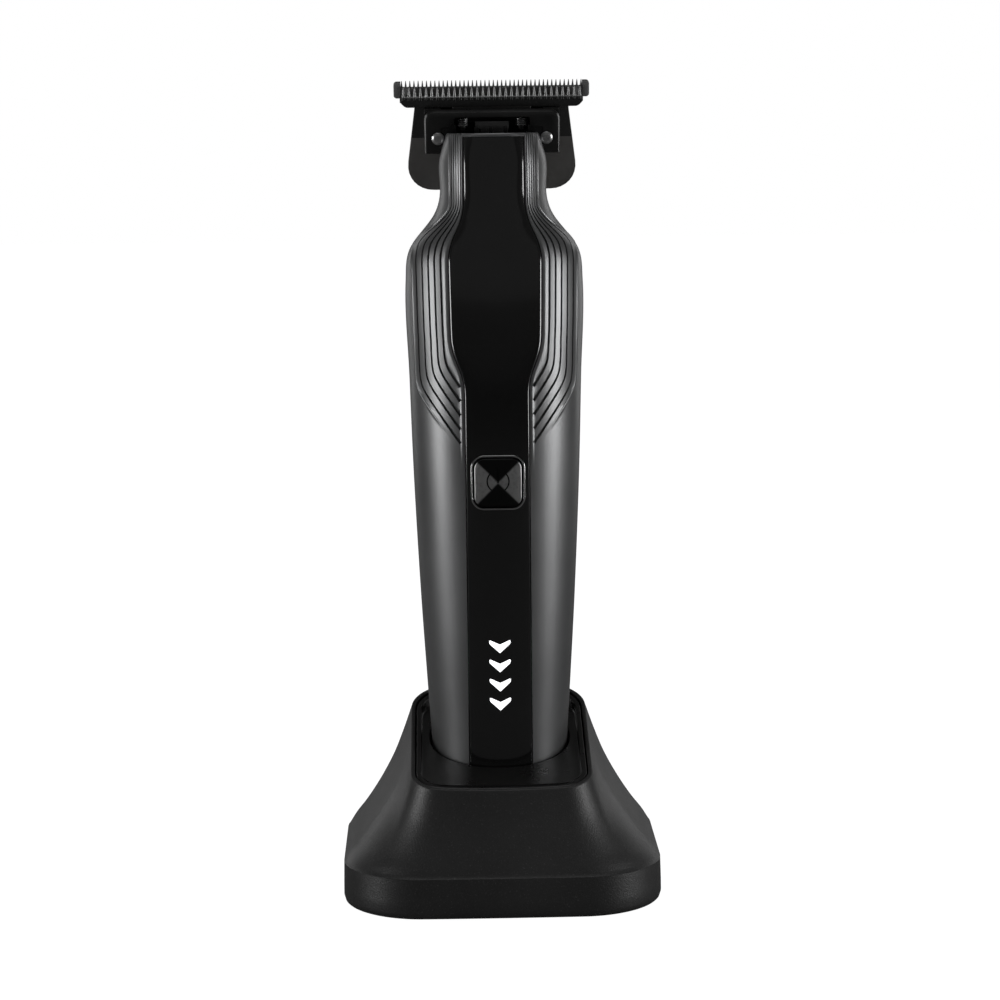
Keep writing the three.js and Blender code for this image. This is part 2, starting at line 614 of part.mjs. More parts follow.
piece(bladeSet, 'fixed_blade', fixedBladeSolid(), finish.blade);
piece(bladeSet, 'moving_blade', movingBladeSolid(), finish.blade);
piece(bladeSet, 'head_bracket', headBracket(), finish.bracket);
[['left', -1], ['right', 1]].forEach(([name, side]) => {
  piece(bladeSet, `blade_screw_${name}`, bladeScrewSolid(side), finish.steel);
  piece(bladeSet, `tension_spring_${name}`, tensionSpring(side), finish.steel);
});

// ---- Dock ------------------------------------------------------------------------------------

const dockBore = (radius, [x, y], reach, sides = 16) => rod(radius, x, y, reach, sides);
const socketSlot = () => plate(
  roundedRectangle(socket.half + gap, socket.halfHeight + gap, 1.6, socketZ), [24, far],
);

function dockShell() {
  const bosses = join(...dockScrews.map((at) => dockBore(3.4, at, [basePlate.top + gap, 17])));
  const pilots = dockScrews.map((at) => dockBore(1.5, at, [0, 13]));
  const walls = cut(dockSolid(), dockSolid(dockWall, 1));
  const inside = dockSolid({ foot: 0.6, rim: 0.4 });
  return cut(join(walls, bosses.intersect(inside)), socketSlot(), ...pilots);
}

// Upright prism of the opening's outline.
const openingPrism = (inset) => loft([18, 46].map((z) => dockRing({ ...dockRim, z }, inset)));

// Tray under the clipper with a well that its lower end stands in.
function dockLiner() {
  const outerInset = dockWall.rim + gap;
  const lip = { height: rim.height - tray.lip, slope: rim.slope };
  const underside = { height: trayFloor.height - tray.floor, slope: trayFloor.slope };
  const blank = cut(openingPrism(outerInset).intersect(above(underside)), above(lip));
  const dish = cut(blank, openingPrism(outerInset + tray.wall).intersect(above(trayFloor)));
  const wellBottom = bodyFoot - gap - tray.wellFloor;
  const wellTop = bodyTop / 3;
  const wellRim = { height: trayFloor.height - 0.2, slope: trayFloor.slope };
  const well = cut(bodySolid(insetBy(-tray.fit - tray.wall), wellBottom, wellTop), above(wellRim));
  const pocket = bodySolid(insetBy(-tray.fit), bodyFoot - gap, wellTop + 1);
  const pinHoles = [-1, 1].map((side) =>
    rod(contact.pinRadius + gap, side * contact.x, contact.y, [10, 20], 12));
  return cut(join(dish, well), pocket, ...pinHoles);
}

function baseCover() {
  const inset = dockWall.foot + gap + 0.1;
  const blank = loft([basePlate.bottom, basePlate.top].map((z) => dockRing({ ...dockFoot, z }, inset)));
  const holes = dockScrews.map((at) => dockBore(1.5, at, [0, 5]));
  const heads = dockScrews.map((at) => dockBore(2.9, at, [0, 2.2]));
  return cut(blank, ...holes, ...heads);
}

const socketZ = dockBoard.top + gap + socket.halfHeight;

piece(dock, 'dock_shell', dockShell(), finish.matteDock);
piece(dock, 'dock_liner', dockLiner(), finish.glossBlack);
piece(dock, 'dock_base_plate', baseCover(), finish.nylon);
piece(dock, 'ballast_weight', block(ballast.x, ballast.y, ballast.z), finish.steel);
piece(dock, 'dock_board', block([-dockBoard.half, dockBoard.half],
  [dockBoard.front, dockBoard.back], [dockBoard.bottom, dockBoard.top]), finish.circuit);
piece(dock, 'dock_socket', usbSocket().rotate([90, 0, 0]).translate([0, 31, socketZ]), finish.steel);

[['left', -1], ['right', 1]].forEach(([name, side]) => {
  const x = side * contact.x;
  const barrelTop = bodyFoot - gap - tray.wellFloor - gap;
  const barrel = cut(
    rod(1.6, x, contact.y, [dockBoard.top + gap, barrelTop], 16),
    rod(contact.pinRadius + gap, x, contact.y, [7.4, barrelTop + 1], 12),
  );
  piece(dock, `pogo_barrel_${name}`, barrel, finish.gold);
  const reach = [contact.pinTop - 8.4, contact.pinTop];
  piece(dock, `pogo_pin_${name}`, rod(contact.pinRadius, x, contact.y, reach, 12), finish.gold);
});

dockScrews.forEach((at, i) => {
  const screw = join(dockBore(2.5, at, [1, 1.9]), dockBore(1.2, at, [1.5, 12], 8));
  piece(dock, `dock_screw_${i + 1}`, screw, finish.steel);
});

dockFeet.forEach((at, i) => {
  piece(dock, `dock_foot_${i + 1}`, dockBore(foot.radius, at, [0, foot.height]), finish.rubber);
});

export default group;
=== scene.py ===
import json
import math

import bmesh
import bpy
from mathutils import Matrix, Vector


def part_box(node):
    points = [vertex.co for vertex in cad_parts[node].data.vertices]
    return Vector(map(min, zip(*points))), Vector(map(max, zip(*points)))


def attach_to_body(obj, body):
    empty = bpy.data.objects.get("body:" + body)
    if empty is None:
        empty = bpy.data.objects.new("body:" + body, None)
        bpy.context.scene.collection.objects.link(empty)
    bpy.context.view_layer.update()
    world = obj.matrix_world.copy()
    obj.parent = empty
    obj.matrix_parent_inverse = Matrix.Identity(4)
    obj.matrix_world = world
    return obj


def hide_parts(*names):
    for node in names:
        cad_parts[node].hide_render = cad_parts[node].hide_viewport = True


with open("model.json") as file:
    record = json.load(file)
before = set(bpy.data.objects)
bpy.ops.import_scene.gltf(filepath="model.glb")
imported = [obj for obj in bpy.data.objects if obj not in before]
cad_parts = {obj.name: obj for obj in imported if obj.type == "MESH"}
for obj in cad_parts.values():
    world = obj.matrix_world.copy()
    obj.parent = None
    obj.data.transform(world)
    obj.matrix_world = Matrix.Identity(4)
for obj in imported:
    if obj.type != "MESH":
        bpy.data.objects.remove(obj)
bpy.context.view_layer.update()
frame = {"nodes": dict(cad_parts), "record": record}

# Shapes are drawn in millimetres and brought to metres when each piece is finished.
mm = 0.001
scene = bpy.context.scene
materials = {}


def mix(a, b, t):
    return a + (b - a) * t


def smoothStep(low, high, value):
    # rises from 0 at low to 1 at high, whichever of them is larger
    t = min(max((value - low) / (high - low), 0), 1)
    return t * t * (3 - 2 * t)


def steps(start, end, count):
    return [mix(start, end, i / count) for i in range(count + 1)]


def polyline(points, z):
    # straight runs through (z, value) points
    for (z0, a), (z1, b) in zip(points, points[1:]):
        if z <= z1:
            return mix(a, b, max(z - z0, 0) / (z1 - z0))
    return points[-1][1]


def curveThrough(stations):
    # smooth curve through a table of {height: values}, level-ended like a draughtsman's spline
    heights = sorted(stations)

    def at(z):
        z = min(max(z, heights[0]), heights[-1])
        i = next(i for i in range(1, len(heights)) if z <= heights[i])
        z0, z1 = heights[i - 1], heights[i]
        half = (z1 - z0) / 2
        before, after = i, i - 1
        pullBefore = pullAfter = -0.5
        if i > 1:
            before, pullBefore = i - 2, half / (z0 - heights[i - 2])
        if i + 1 < len(heights):
            after, pullAfter = i + 1, half / (heights[i + 1] - z1)
        p = (z - z0) / (z1 - z0)
        pp, ppp = p * p, p * p * p
        weights = (
            -pullBefore * (ppp - 2 * pp + p),
            (1 + pullBefore) * ppp + (-1.5 - 2 * pullBefore) * pp + (pullBefore - 0.5) * p + 1,
            (-1 - pullAfter) * ppp + (1.5 + pullAfter) * pp + 0.5 * p,
            pullAfter * (ppp - pp),
        )
        rows = [stations[heights[k]] for k in (before, i - 1, i, after)]
        return [sum(w * row[c] for w, row in zip(weights, rows)) for c in range(len(rows[0]))]

    return at


def power(value, exponent):
    return math.copysign(abs(value) ** exponent, value)


def sheet(columns, rows, place, looped=False, stacked=False):
    # a grid whose points are each set in place; looped joins the last column to the first
    bm = bmesh.new()
    bmesh.ops.create_grid(bm, x_segments=columns, y_segments=rows, size=1)
    for v in bm.verts:
        i = round((v.co.x + 1) / 2 * columns)
        j = round((v.co.y + 1) / 2 * rows)
        v.co = place(i % columns if looped else i, j % rows if stacked else j)
    bmesh.ops.remove_doubles(bm, verts=bm.verts, dist=1e-4)
    bmesh.ops.dissolve_degenerate(bm, edges=bm.edges, dist=1e-5)
    return bm


def loft(rings, closedStack=False):
    # a closed skin over a stack of rings with the same number of points
    around, stack = len(rings[0]), len(rings)
    bm = sheet(around, stack if closedStack else stack - 1, lambda i, j: rings[j][i], True, closedStack)
    if not closedStack:
        bmesh.ops.holes_fill(bm, edges=bm.edges, sides=0)
    bmesh.ops.recalc_face_normals(bm, faces=bm.faces)
    return bm


def roundedLoop(halfX, front, back, corner, arc=8):
    # rounded rectangle as points, anticlockwise from the +X side
    points = []
    for quarter, (sx, sy) in enumerate(((1, 1), (-1, 1), (-1, -1), (1, -1))):
        reach = back if sy > 0 else front
        for angle in steps(quarter * math.pi / 2, (quarter + 1) * math.pi / 2, arc):
            x = sx * (halfX - corner) + corner * math.cos(angle)
            y = sy * (reach - corner) + corner * math.sin(angle)
            points.append((x, y))
    return points


def circleLoop(radius, count=32, x=0, y=0):
    turn = 2 * math.pi / count
    return [(x + radius * math.cos(i * turn), y + radius * math.sin(i * turn)) for i in range(count)]


def flatRing(loop, z):
    return [Vector((x, y, z)) for x, y in loop]


def facingRing(loop, y, z=0):
    # the same loop stood up, facing the front
    return [Vector((a, y, z + b)) for a, b in loop]


def roundedSlab(outline, low, high, edge, ring=flatRing, arc=3):
    # a prism with its rims rounded; outline(inset) gives the loop drawn in by that much
    turns = steps(0, math.pi / 2, arc)
    rims = [(edge * (1 - math.sin(a)), edge * (1 - math.cos(a))) for a in turns]
    rings = [ring(outline(inset), low + rise) for inset, rise in rims]
    rings += [ring(outline(inset), high - rise) for inset, rise in reversed(rims)]
    return loft(rings)


def roundOff(bm, edges, radius, segments=2):
    bmesh.ops.bevel(bm, geom=edges, offset=radius, offset_type="OFFSET", segments=segments, profile=0.5,
                    affect="EDGES", material=-1)


def plate(outline, near, far, edge=0.0, corners=()):
    # a front-view outline in X and Z given thickness along Y; corners: (point number, radius)
    bm = bmesh.new()
    face = bm.faces.new([bm.verts.new((x, near, z)) for x, z in outline])
    pushed = bmesh.ops.extrude_face_region(bm, geom=[face])["geom"]
    moved = [v for v in pushed if isinstance(v, bmesh.types.BMVert)]
    bmesh.ops.translate(bm, verts=moved, vec=(0, far - near, 0))
    for at, radius in corners:
        x, z = outline[at]
        upright = [e for e in bm.edges if all(math.hypot(v.co.x - x, v.co.z - z) < 1e-4 for v in e.verts)]
        roundOff(bm, upright, radius, 8)
    if edge:
        level = [e for e in bm.edges if abs(e.verts[0].co.y - e.verts[1].co.y) < 1e-5]
        roundOff(bm, [e for e in level if e.calc_face_angle(0) > 0.5], edge)
    bmesh.ops.recalc_face_normals(bm, faces=bm.faces)
    return bm


def block(x, y, z, edge=0.0):
    # a box between two values on each axis
    bm = bmesh.new()
    bmesh.ops.create_cube(bm, size=1)
    bmesh.ops.scale(bm, verts=bm.verts, vec=[high - low for low, high in (x, y, z)])
    bmesh.ops.translate(bm, verts=bm.verts, vec=[(low + high) / 2 for low, high in (x, y, z)])
    if edge:
        roundOff(bm, bm.edges, edge)
    return bm


def rod(radius, x, z, y0, y1, count=32):
    # a cylinder lying along Y
    return loft([facingRing(circleLoop(radius, count, x), y, z) for y in (y0, y1)])


def turned(profile, count=32):
    # an upright turned shape from (radius, height) points, bottom first
    return loft([flatRing(circleLoop(radius, count), z) for radius, z in profile])


def shifted(bm, by):
    bmesh.ops.translate(bm, verts=bm.verts, vec=by)
    return bm


def together(*parts):
    # several shapes in one bmesh
    whole = bmesh.new()
    for part in parts:
        mesh = bpy.data.meshes.new("part")
        part.to_mesh(mesh)
        part.free()
        whole.from_mesh(mesh)
        bpy.data.meshes.remove(mesh)
    return whole


def objectFrom(bm, name):
    mesh = bpy.data.meshes.new(name)
    bm.to_mesh(mesh)
    bm.free()
    obj = bpy.data.objects.new(name, mesh)
    scene.collection.objects.link(obj)
    return obj


def settle(obj):
    # keeps what the modifiers make
    shaped = obj.evaluated_get(bpy.context.evaluated_depsgraph_get())
    obj.data = bpy.data.meshes.new_from_object(shaped)
    obj.modifiers.clear()


def thicken(obj, wall):
    modifier = obj.modifiers.new("wall", "SOLIDIFY")
    modifier.thickness = wall
    modifier.offset = -1
    settle(obj)


def carve(obj, *tools):
    for tool in tools:
        cutter = objectFrom(tool, "cutter")
        modifier = obj.modifiers.new("cut", "BOOLEAN")
        modifier.object = cutter
        modifier.operation = "DIFFERENCE"
        modifier.solver = "EXACT"
        settle(obj)
        bpy.data.objects.remove(cutter)


def attach(obj, added):
    # gives an object a further shape beside its own
    own = bmesh.new()
    own.from_mesh(obj.data)
    whole = together(own, added)
    whole.to_mesh(obj.data)
    whole.free()


def finishPiece(made, name, slot, body, *nodes, sharp=35, turn=None):
    obj = made if isinstance(made, bpy.types.Object) else objectFrom(made, name)
    obj.name = name
    if turn:
        obj.data.transform(turn)
    obj.data.transform(Matrix.Scale(mm, 4))
    obj.data.shade_smooth()
    obj.data.set_sharp_from_angle(angle=math.radians(sharp))
    obj.data.materials.clear()
    obj.data.materials.append(materials[slot])
    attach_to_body(obj, body)
    if nodes:
        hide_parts(*nodes)
    return obj


def addNode(tree, kind, inputs=None, **settings):
    made = tree.nodes.new(kind)
    for key, value in settings.items():
        setattr(made, key, value)
    for socket, value in (inputs or {}).items():
        if isinstance(value, bpy.types.NodeSocket):
            tree.links.new(value, made.inputs[socket])
        else:
            made.inputs[socket].default_value = value
    return made


def calculate(tree, operation, *values):
    return addNode(tree, "ShaderNodeMath", dict(enumerate(values)), operation=operation).outputs[0]


def remap(tree, value, low, high, fromLow=0.0, fromHigh=1.0):
    limits = {"Value": value, "From Min": fromLow, "From Max": fromHigh, "To Min": low, "To Max": high}
    return addNode(tree, "ShaderNodeMapRange", limits).outputs[0]


def blend(tree, factor, low, high):
    # a colour between two colours
    return addNode(tree, "ShaderNodeMix", {0: factor, 6: low, 7: high}, data_type="RGBA").outputs[2]


def noise(tree, place, scale, detail, rough=0.5):
    values = {"Vector": place, "Scale": scale, "Detail": detail, "Roughness": rough}
    return addNode(tree, "ShaderNodeTexNoise", values).outputs["Fac"]


def wire(tree, shader, colour, rough, height, depth, reach=0.0001):
    # base colour, roughness and a bump into the shader
    bump = addNode(tree, "ShaderNodeBump", {"Height": height, "Strength": depth, "Distance": reach})
    for source, socket in ((colour, "Base Color"), (rough, "Roughness"), (bump.outputs[0], "Normal")):
        tree.links.new(source, shader.inputs[socket])


def newGroup(name, inputs, outputs):
    tree = bpy.data.node_groups.new(name, "ShaderNodeTree")
    for label, kind in inputs:
        tree.interface.new_socket(name=label, in_out="INPUT", socket_type="NodeSocket" + kind)
    for label in outputs:
        tree.interface.new_socket(name=label, in_out="OUTPUT", socket_type="NodeSocketFloat")
    return tree, addNode(tree, "NodeGroupInput"), addNode(tree, "NodeGroupOutput")


def makeGrainGroup():
    # pebbled mould grain: Height for a bump, Speck for the odd bright point
    tree, given, result = newGroup("mouldGrain", [("Vector", "Vector"), ("Scale", "Float")],
                                   ["Height", "Speck"])
    place, scale = given.outputs[0], given.outputs[1]
    fine = noise(tree, place, scale, 2.0, 0.6)
    cells = addNode(tree, "ShaderNodeTexVoronoi", {"Vector": place, "Scale": scale})
    height = calculate(tree, "ADD", fine, calculate(tree, "MULTIPLY", cells.outputs[0], 0.5))
    tree.links.new(height, result.inputs[0])
    tree.links.new(remap(tree, fine, 0, 1, 0.62, 0.75), result.inputs[1])
    return tree


def makeDriftGroup():
    # slow change of tone over a surface
    tree, given, result = newGroup("toneDrift", [("Vector", "Vector"), ("Scale", "Float")], ["Drift"])
    broad = noise(tree, given.outputs[0], given.outputs[1], 4.0, 0.55)
    tree.links.new(remap(tree, broad, 0, 1, 0.3, 0.7), result.inputs[0])
    return tree


def makeDustGroup():
    # light settling on what faces up, broken into patches
    tree, given, result = newGroup("settledDust", [("Vector", "Vector"), ("Amount", "Float")], ["Dust"])
    normal = addNode(tree, "ShaderNodeNewGeometry").outputs["Normal"]
    upward = addNode(tree, "ShaderNodeSeparateXYZ", {"Vector": normal}).outputs["Z"]
    patches = noise(tree, given.outputs[0], 900.0, 3.0)
    settled = calculate(tree, "MULTIPLY", calculate(tree, "MAXIMUM", upward, 0.0), patches)
    tree.links.new(calculate(tree, "MULTIPLY", settled, given.outputs[1]), result.inputs[0])
    return tree


grainGroup, driftGroup, dustGroup = makeGrainGroup(), makeDriftGroup(), makeDustGroup()


def useGroup(tree, group, inputs):
    return addNode(tree, "ShaderNodeGroup", inputs, node_tree=group)


def newMaterial(slot, **shaderValues):
    material = bpy.data.materials.new(slot)
    material.use_nodes = True
    tree = material.node_tree
    shader = tree.nodes["Principled BSDF"]
    for socket, value in shaderValues.items():
        shader.inputs[socket.replace("_", " ")].default_value = value
    materials[slot] = material
    return tree, shader, addNode(tree, "ShaderNodeTexCoord").outputs["Object"]


def grey(value, warmth=0.0):
    return (value * (1 + warmth), value, value * (1 - warmth), 1)


# Each finish: tone between two colours, roughness between two values, grain size and depth,
# how soon the tone changes along the surface, and dust where any has settled.
finishes = {
    "shell_satin": dict(dark=grey(0.155, -0.01), light=grey(0.185, -0.01), rough=(0.35, 0.41),
                        grain=5200, depth=0.06, drift=30, Metallic=0.75),
    "panel_gloss": dict(dark=grey(0.006), light=grey(0.009), rough=(0.09, 0.13), grain=900, depth=0.01,
                        drift=40, dust=0.02, Coat_Weight=0.3, Coat_Roughness=0.05),
    "bezel_chrome": dict(dark=grey(0.42), light=grey(0.52), rough=(0.14, 0.2), grain=3000, depth=0.02,
                         drift=120, Metallic=1.0),
    "nylon_dark": dict(dark=grey(0.018), light=grey(0.028), rough=(0.5, 0.62), grain=3500, depth=0.25,
                       drift=60, dust=0.02),
    "steel_plain": dict(dark=grey(0.45), light=grey(0.58), rough=(0.25, 0.38), grain=2200, depth=0.08,
                        drift=90, Metallic=1.0),
    "screw_steel": dict(dark=grey(0.36), light=grey(0.5), rough=(0.24, 0.36), grain=4000, depth=0.08,
                        drift=300, Metallic=1.0),
    "acetal_white": dict(dark=grey(0.68, 0.03), light=grey(0.76, 0.03), rough=(0.38, 0.46),
                         grain=2600, depth=0.08, drift=80),
    "rubber_black": dict(dark=grey(0.012), light=grey(0.02), rough=(0.8, 0.92), grain=4200, depth=0.35,
                         drift=90, dust=0.06),
    "bracket_plastic": dict(dark=grey(0.005), light=grey(0.009), rough=(0.26, 0.34), grain=3200,
                            depth=0.06, drift=120, dust=0.02),
    "circuit_board": dict(dark=(0.012, 0.06, 0.03, 1), light=(0.02, 0.1, 0.05, 1), rough=(0.35, 0.5),
                          grain=1800, depth=0.15, drift=220),
    "cell_wrap": dict(dark=(0.02, 0.09, 0.26, 1), light=(0.03, 0.13, 0.33, 1), rough=(0.28, 0.4),
                      grain=900, depth=0.1, drift=60),
    "contact_gold": dict(dark=(0.68, 0.48, 0.17, 1), light=(0.8, 0.6, 0.25, 1), rough=(0.18, 0.3),
                         grain=3000, depth=0.05, drift=200, Metallic=1.0),
}
dustTone = grey(0.4, 0.04)


def makeFinish(slot, look):
    values = {key: value for key, value in look.items() if key[0].isupper()}
    tree, shader, place = newMaterial(slot, **values)
    drift = useGroup(tree, driftGroup, {"Vector": place, "Scale": look["drift"]}).outputs["Drift"]
    grain = useGroup(tree, grainGroup, {"Vector": place, "Scale": look["grain"]}).outputs["Height"]
    dust = useGroup(tree, dustGroup, {"Vector": place, "Amount": look.get("dust", 0.0)}).outputs["Dust"]
    tone = blend(tree, drift, look["dark"], look["light"])
    wire(tree, shader, blend(tree, dust, tone, dustTone), remap(tree, drift, *look["rough"]), grain,
         look["depth"])


for finishSlot, finishLook in finishes.items():
    makeFinish(finishSlot, finishLook)

dockFinish = {
    "grain": 3000.0, "drift": 45.0, "dust": 0.05, "dark": grey(0.024), "light": grey(0.032),
    "speck": grey(0.075), "dustTone": grey(0.3), "rough": (0.4, 0.47), "depth": 0.35,
}


def makeDockFinish():
    # charcoal moulding with a spark-eroded skin and a few lighter grains
    look = dockFinish
    tree, shader, place = newMaterial("dock_matte", Metallic=0.25)
    grain = useGroup(tree, grainGroup, {"Vector": place, "Scale": look["grain"]})
    drift = useGroup(tree, driftGroup, {"Vector": place, "Scale": look["drift"]}).outputs["Drift"]
    dust = useGroup(tree, dustGroup, {"Vector": place, "Amount": look["dust"]}).outputs["Dust"]
    plain = blend(tree, drift, look["dark"], look["light"])
    specked = blend(tree, grain.outputs["Speck"], plain, look["speck"])
    wire(tree, shader, blend(tree, dust, specked, look["dustTone"]), remap(tree, drift, *look["rough"]),
         grain.outputs["Height"], look["depth"])


# The heights, in metres, are where the fixed blade turns darker and where a painted highlight over its teeth
# begins.
bladeFinish = {
    "seatAbove": 0.1632, "paintedHighlightAbove": 0.1717, "drift": 140.0, "lines": 700.0, "stretch": 14.0,
    "dark": grey(0.1, 0.03), "light": grey(0.13, 0.03), "seat": grey(0.025), "teeth": grey(0.24),
    "rough": (0.3, 0.5), "depth": 0.12,
}


def makeBladeFinish():
    # black coated steel, ground along its length; darker above one height, and lighter above a higher one, a
    # painted highlight on the teeth
    look = bladeFinish
    tree, shader, place = newMaterial("blade_black", Metallic=0.5)
    along = (1.0, look["stretch"], look["stretch"])
    stretched = addNode(tree, "ShaderNodeMapping", {"Vector": place, "Scale": along}).outputs[0]
    lines = noise(tree, stretched, look["lines"], 3.0)
    drift = useGroup(tree, driftGroup, {"Vector": place, "Scale": look["drift"]}).outputs["Drift"]
    height = addNode(tree, "ShaderNodeSeparateXYZ", {"Vector": place}).outputs["Z"]
    # darker above this height
    seat = calculate(tree, "GREATER_THAN", height, look["seatAbove"])
    # painted highlight: above this height, over the teeth, the colour is lighter
    teeth = calculate(tree, "GREATER_THAN", height, look["paintedHighlightAbove"])
    coated = blend(tree, seat, blend(tree, drift, look["dark"], look["light"]), look["seat"])
    wire(tree, shader, blend(tree, teeth, coated, look["teeth"]), remap(tree, lines, *look["rough"]), lines,
         look["depth"])


# Sizes in metres; the cuts are a frequency.
# lit is the colour of a painted sheen
buttonFinish = {
    "cuts": 42000.0, "cutReach": 0.00003, "cutDepth": 0.35, "soften": 0.0003, "flatTo": 0.00012,
    "unevenness": 1500.0, "dark": grey(0.012), "lit": grey(0.34), "rough": (0.3, 0.4),
}


def makeButtonFinish(centre, front):
    # turned in nested squares, with a painted sheen on the side quarters of its face that its top and bottom
    # quarters lack;
    # black in the engraved lines and round the edge
    look = buttonFinish
    tree, shader, place = newMaterial("button_metal", Metallic=0.9)
    axes = addNode(tree, "ShaderNodeSeparateXYZ", {"Vector": place}).outputs
    across = calculate(tree, "ABSOLUTE", axes["X"])
    upright = calculate(tree, "ABSOLUTE", calculate(tree, "SUBTRACT", axes["Z"], centre))
    square = calculate(tree, "MAXIMUM", across, upright)
    cuts = calculate(tree, "SINE", calculate(tree, "MULTIPLY", square, look["cuts"]))
    # painted sheen: the face's side quarters are coloured lighter than its top and bottom quarters
    side = remap(tree, calculate(tree, "SUBTRACT", across, upright), 0, 1, -look["soften"], look["soften"])
    uneven = noise(tree, place, look["unevenness"], 2.0)
    lit = calculate(tree, "MULTIPLY", side, calculate(tree, "ADD", uneven, 0.5))
    flat = calculate(tree, "LESS_THAN", axes["Y"], front + look["flatTo"])
    tone = blend(tree, calculate(tree, "MULTIPLY", lit, flat), look["dark"], look["lit"])
    wire(tree, shader, tone, remap(tree, uneven, *look["rough"]), cuts, look["cutDepth"], look["cutReach"])


def makeLightFinish():
    # milky light guide, unevenly lit from behind
    tree, shader, place = newMaterial("light_white", Emission_Strength=1.6, Roughness=0.4)
    drift = useGroup(tree, driftGroup, {"Vector": place, "Scale": 500.0}).outputs["Drift"]
    glow = blend(tree, drift, (0.86, 0.88, 0.9, 1), (1, 1, 1, 1))
    tree.links.new(glow, shader.inputs["Base Color"])
    tree.links.new(glow, shader.inputs["Emission Color"])


buttonLow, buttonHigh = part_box("power_button")
button = {
    "z": (buttonLow.z + buttonHigh.z) / 2 / mm, "half": 5.05, "tall": 0.1, "corner": 2.1, "face": -16.5,
    "thick": 2.4, "edge": 0.35, "flange": 5.75, "flangeAt": (2.25, 2.7), "stem": -13.3, "stemRadius": 1.4,
}
makeDockFinish()
makeBladeFinish()
makeButtonFinish(button["z"] * mm, button["face"] * mm)
makeLightFinish()
print("finishes ready:", len(materials))

# The clipper's body: half-width, and reach to the front and to the back, at each height.
body = {
    "stations": {
        18: (14.4, 13.5, 12.3), 33: (14.85, 14.1, 12.8), 46: (15.65, 14.6, 13.2),
        64: (16.7, 15.3, 13.5), 91: (17.9, 16.0, 13.8), 112: (18.5, 15.8, 13.6),
        133: (19.0, 14.7, 12.7), 139.6: (18.1, 13.9, 11.9), 147.2: (12.6, 12.7, 10.6),
        150.5: (11.5, 12.2, 10.1), 158.5: (11.4, 11.3, 8.5), 164.2: (9.8, 10.8, 6.9),
    },
    "squareness": (2.2, 2.4), "foot": 18, "top": 164.2, "seam": 0.15, "wall": 1.4, "rounding": 0.8,
    "topRound": 0.2, "rearColumns": 36, "step": 0.8,
}
bodySize = curveThrough(body["stations"])
bodyMiddle = Vector((0, 0, 90))

panel = {
    "outline": [(20, 6.75), (112.4, 6.75), (119, 9.45), (123, 9.6), (140.2, 9.85), (147.3, 6.45),
                (163.4, 6.35)],
    "soften": 2.6, "bottom": 20, "top": 163.4, "fit": 0.12, "thick": 1.1, "margin": 0.15, "edge": 0.16,
}
grooves = {
    "count": 5, "bodyFirst": 1.72, "bodyPitch": 1.3, "neckFirst": 0.62, "neckPitch": 0.47,
    "bodyUnder": 140.5, "neckOver": 149.5, "straightOver": 121, "endHeight": 111.3, "endPitch": 2.985,
    "endX": 7.8, "slope": 0.727, "bend": 1.4, "width": 0.5, "neckWidth": 0.24, "depth": 0.5,
    "neckDepth": 0.35, "endWiden": 1.35, "endLength": 9, "stops": 110,
}
# The lip beside the panel and the ridge outside the last groove, which fade out going down.
lip = {
    "body": 1.1, "neck": 0.42, "proud": 0.14, "fade": (93, 102), "narrowing": 0.2, "narrowAt": (119, 112),
    "ridgeAfter": 4.55, "ridgeGap": 1.6, "ridgeWide": 0.55, "neckRidge": 0.4, "ridgeProud": 0.16,
    "ridgeFade": (100, 110), "closest": 0.015, "columns": (22, 6, 12, 6, 6),
}


def bodyPoint(angle, z, inset=0.0, back=False):
    width, front, rear = bodySize(z)
    exponent = 2 / body["squareness"][back]
    reach = rear - inset if back else inset - front
    x = power(math.cos(angle), exponent) * (width - inset)
    return Vector((x, power(math.sin(angle), exponent) * reach, z))


def angleAt(x, z, back=False):
    return math.acos(min(abs(x) / bodySize(z)[0], 1) ** (body["squareness"][back] / 2))


def skin(x, z, back=False):
    y = bodyPoint(angleAt(x, z, back), z, 0, back).y
    return Vector((x, y, z))


def outwardAt(point):
    width, front, rear = bodySize(point.z)
    reach = front if point.y < 0 else rear
    return Vector((point.x / width ** 2, point.y / reach ** 2, 0)).normalized()


def seamAngle(z, back=False):
    return math.asin((body["seam"] / bodySize(z)[2 if back else 1]) ** (body["squareness"][back] / 2))


def panelHalf(z):
    # the outline's corners are eased over a short length
    reach = panel["soften"]
    return sum(polyline(panel["outline"], z + step) for step in steps(-reach, reach, 8)) / 9


def neckShare(z):
    return smoothStep(grooves["bodyUnder"], grooves["neckOver"], z)


def grooveX(k, z):
    g, neck = grooves, neckShare(z)
    offset = mix(g["bodyFirst"] + g["bodyPitch"] * k, g["neckFirst"] + g["neckPitch"] * k, neck)
    beside = panelHalf(max(z, g["straightOver"])) + offset
    across = g["endX"] + (z - g["endHeight"] + g["endPitch"] * k) * g["slope"]
    return (beside + across - math.hypot(beside - across, g["bend"])) / 2


def shellColumns(z):
    # angle and height above the plain skin, from the seam in to the middle
    neck = neckShare(z)
    edge = panelHalf(z) + panel["fit"]
    lipOut = edge + mix(lip["body"], lip["neck"], neck) - lip["narrowing"] * smoothStep(*lip["narrowAt"], z)
    ridgeIn = max(grooveX(lip["ridgeAfter"], z), lipOut + lip["ridgeGap"])
    ridgeOut = ridgeIn + mix(lip["ridgeWide"], lip["neckRidge"], neck)
    marks = [seamAngle(z), *(angleAt(x, z) for x in (ridgeOut, ridgeIn, lipOut, edge)), math.pi / 2]
    for k in range(1, 5):
        marks[k] = max(marks[k], marks[k - 1] + lip["closest"])
    ridge = lip["ridgeProud"] * smoothStep(*lip["ridgeFade"], z)
    rise = lip["proud"] * smoothStep(*lip["fade"], z)
    columns = []
    for part, (count, height) in enumerate(zip(lip["columns"], (0, ridge, 0, rise, 0))):
        for t in steps(0, 1, count)[:-1]:
            columns.append((mix(marks[part], marks[part + 1], t), height * math.sin(math.pi * t)))
    return columns + [(math.pi / 2, 0)]


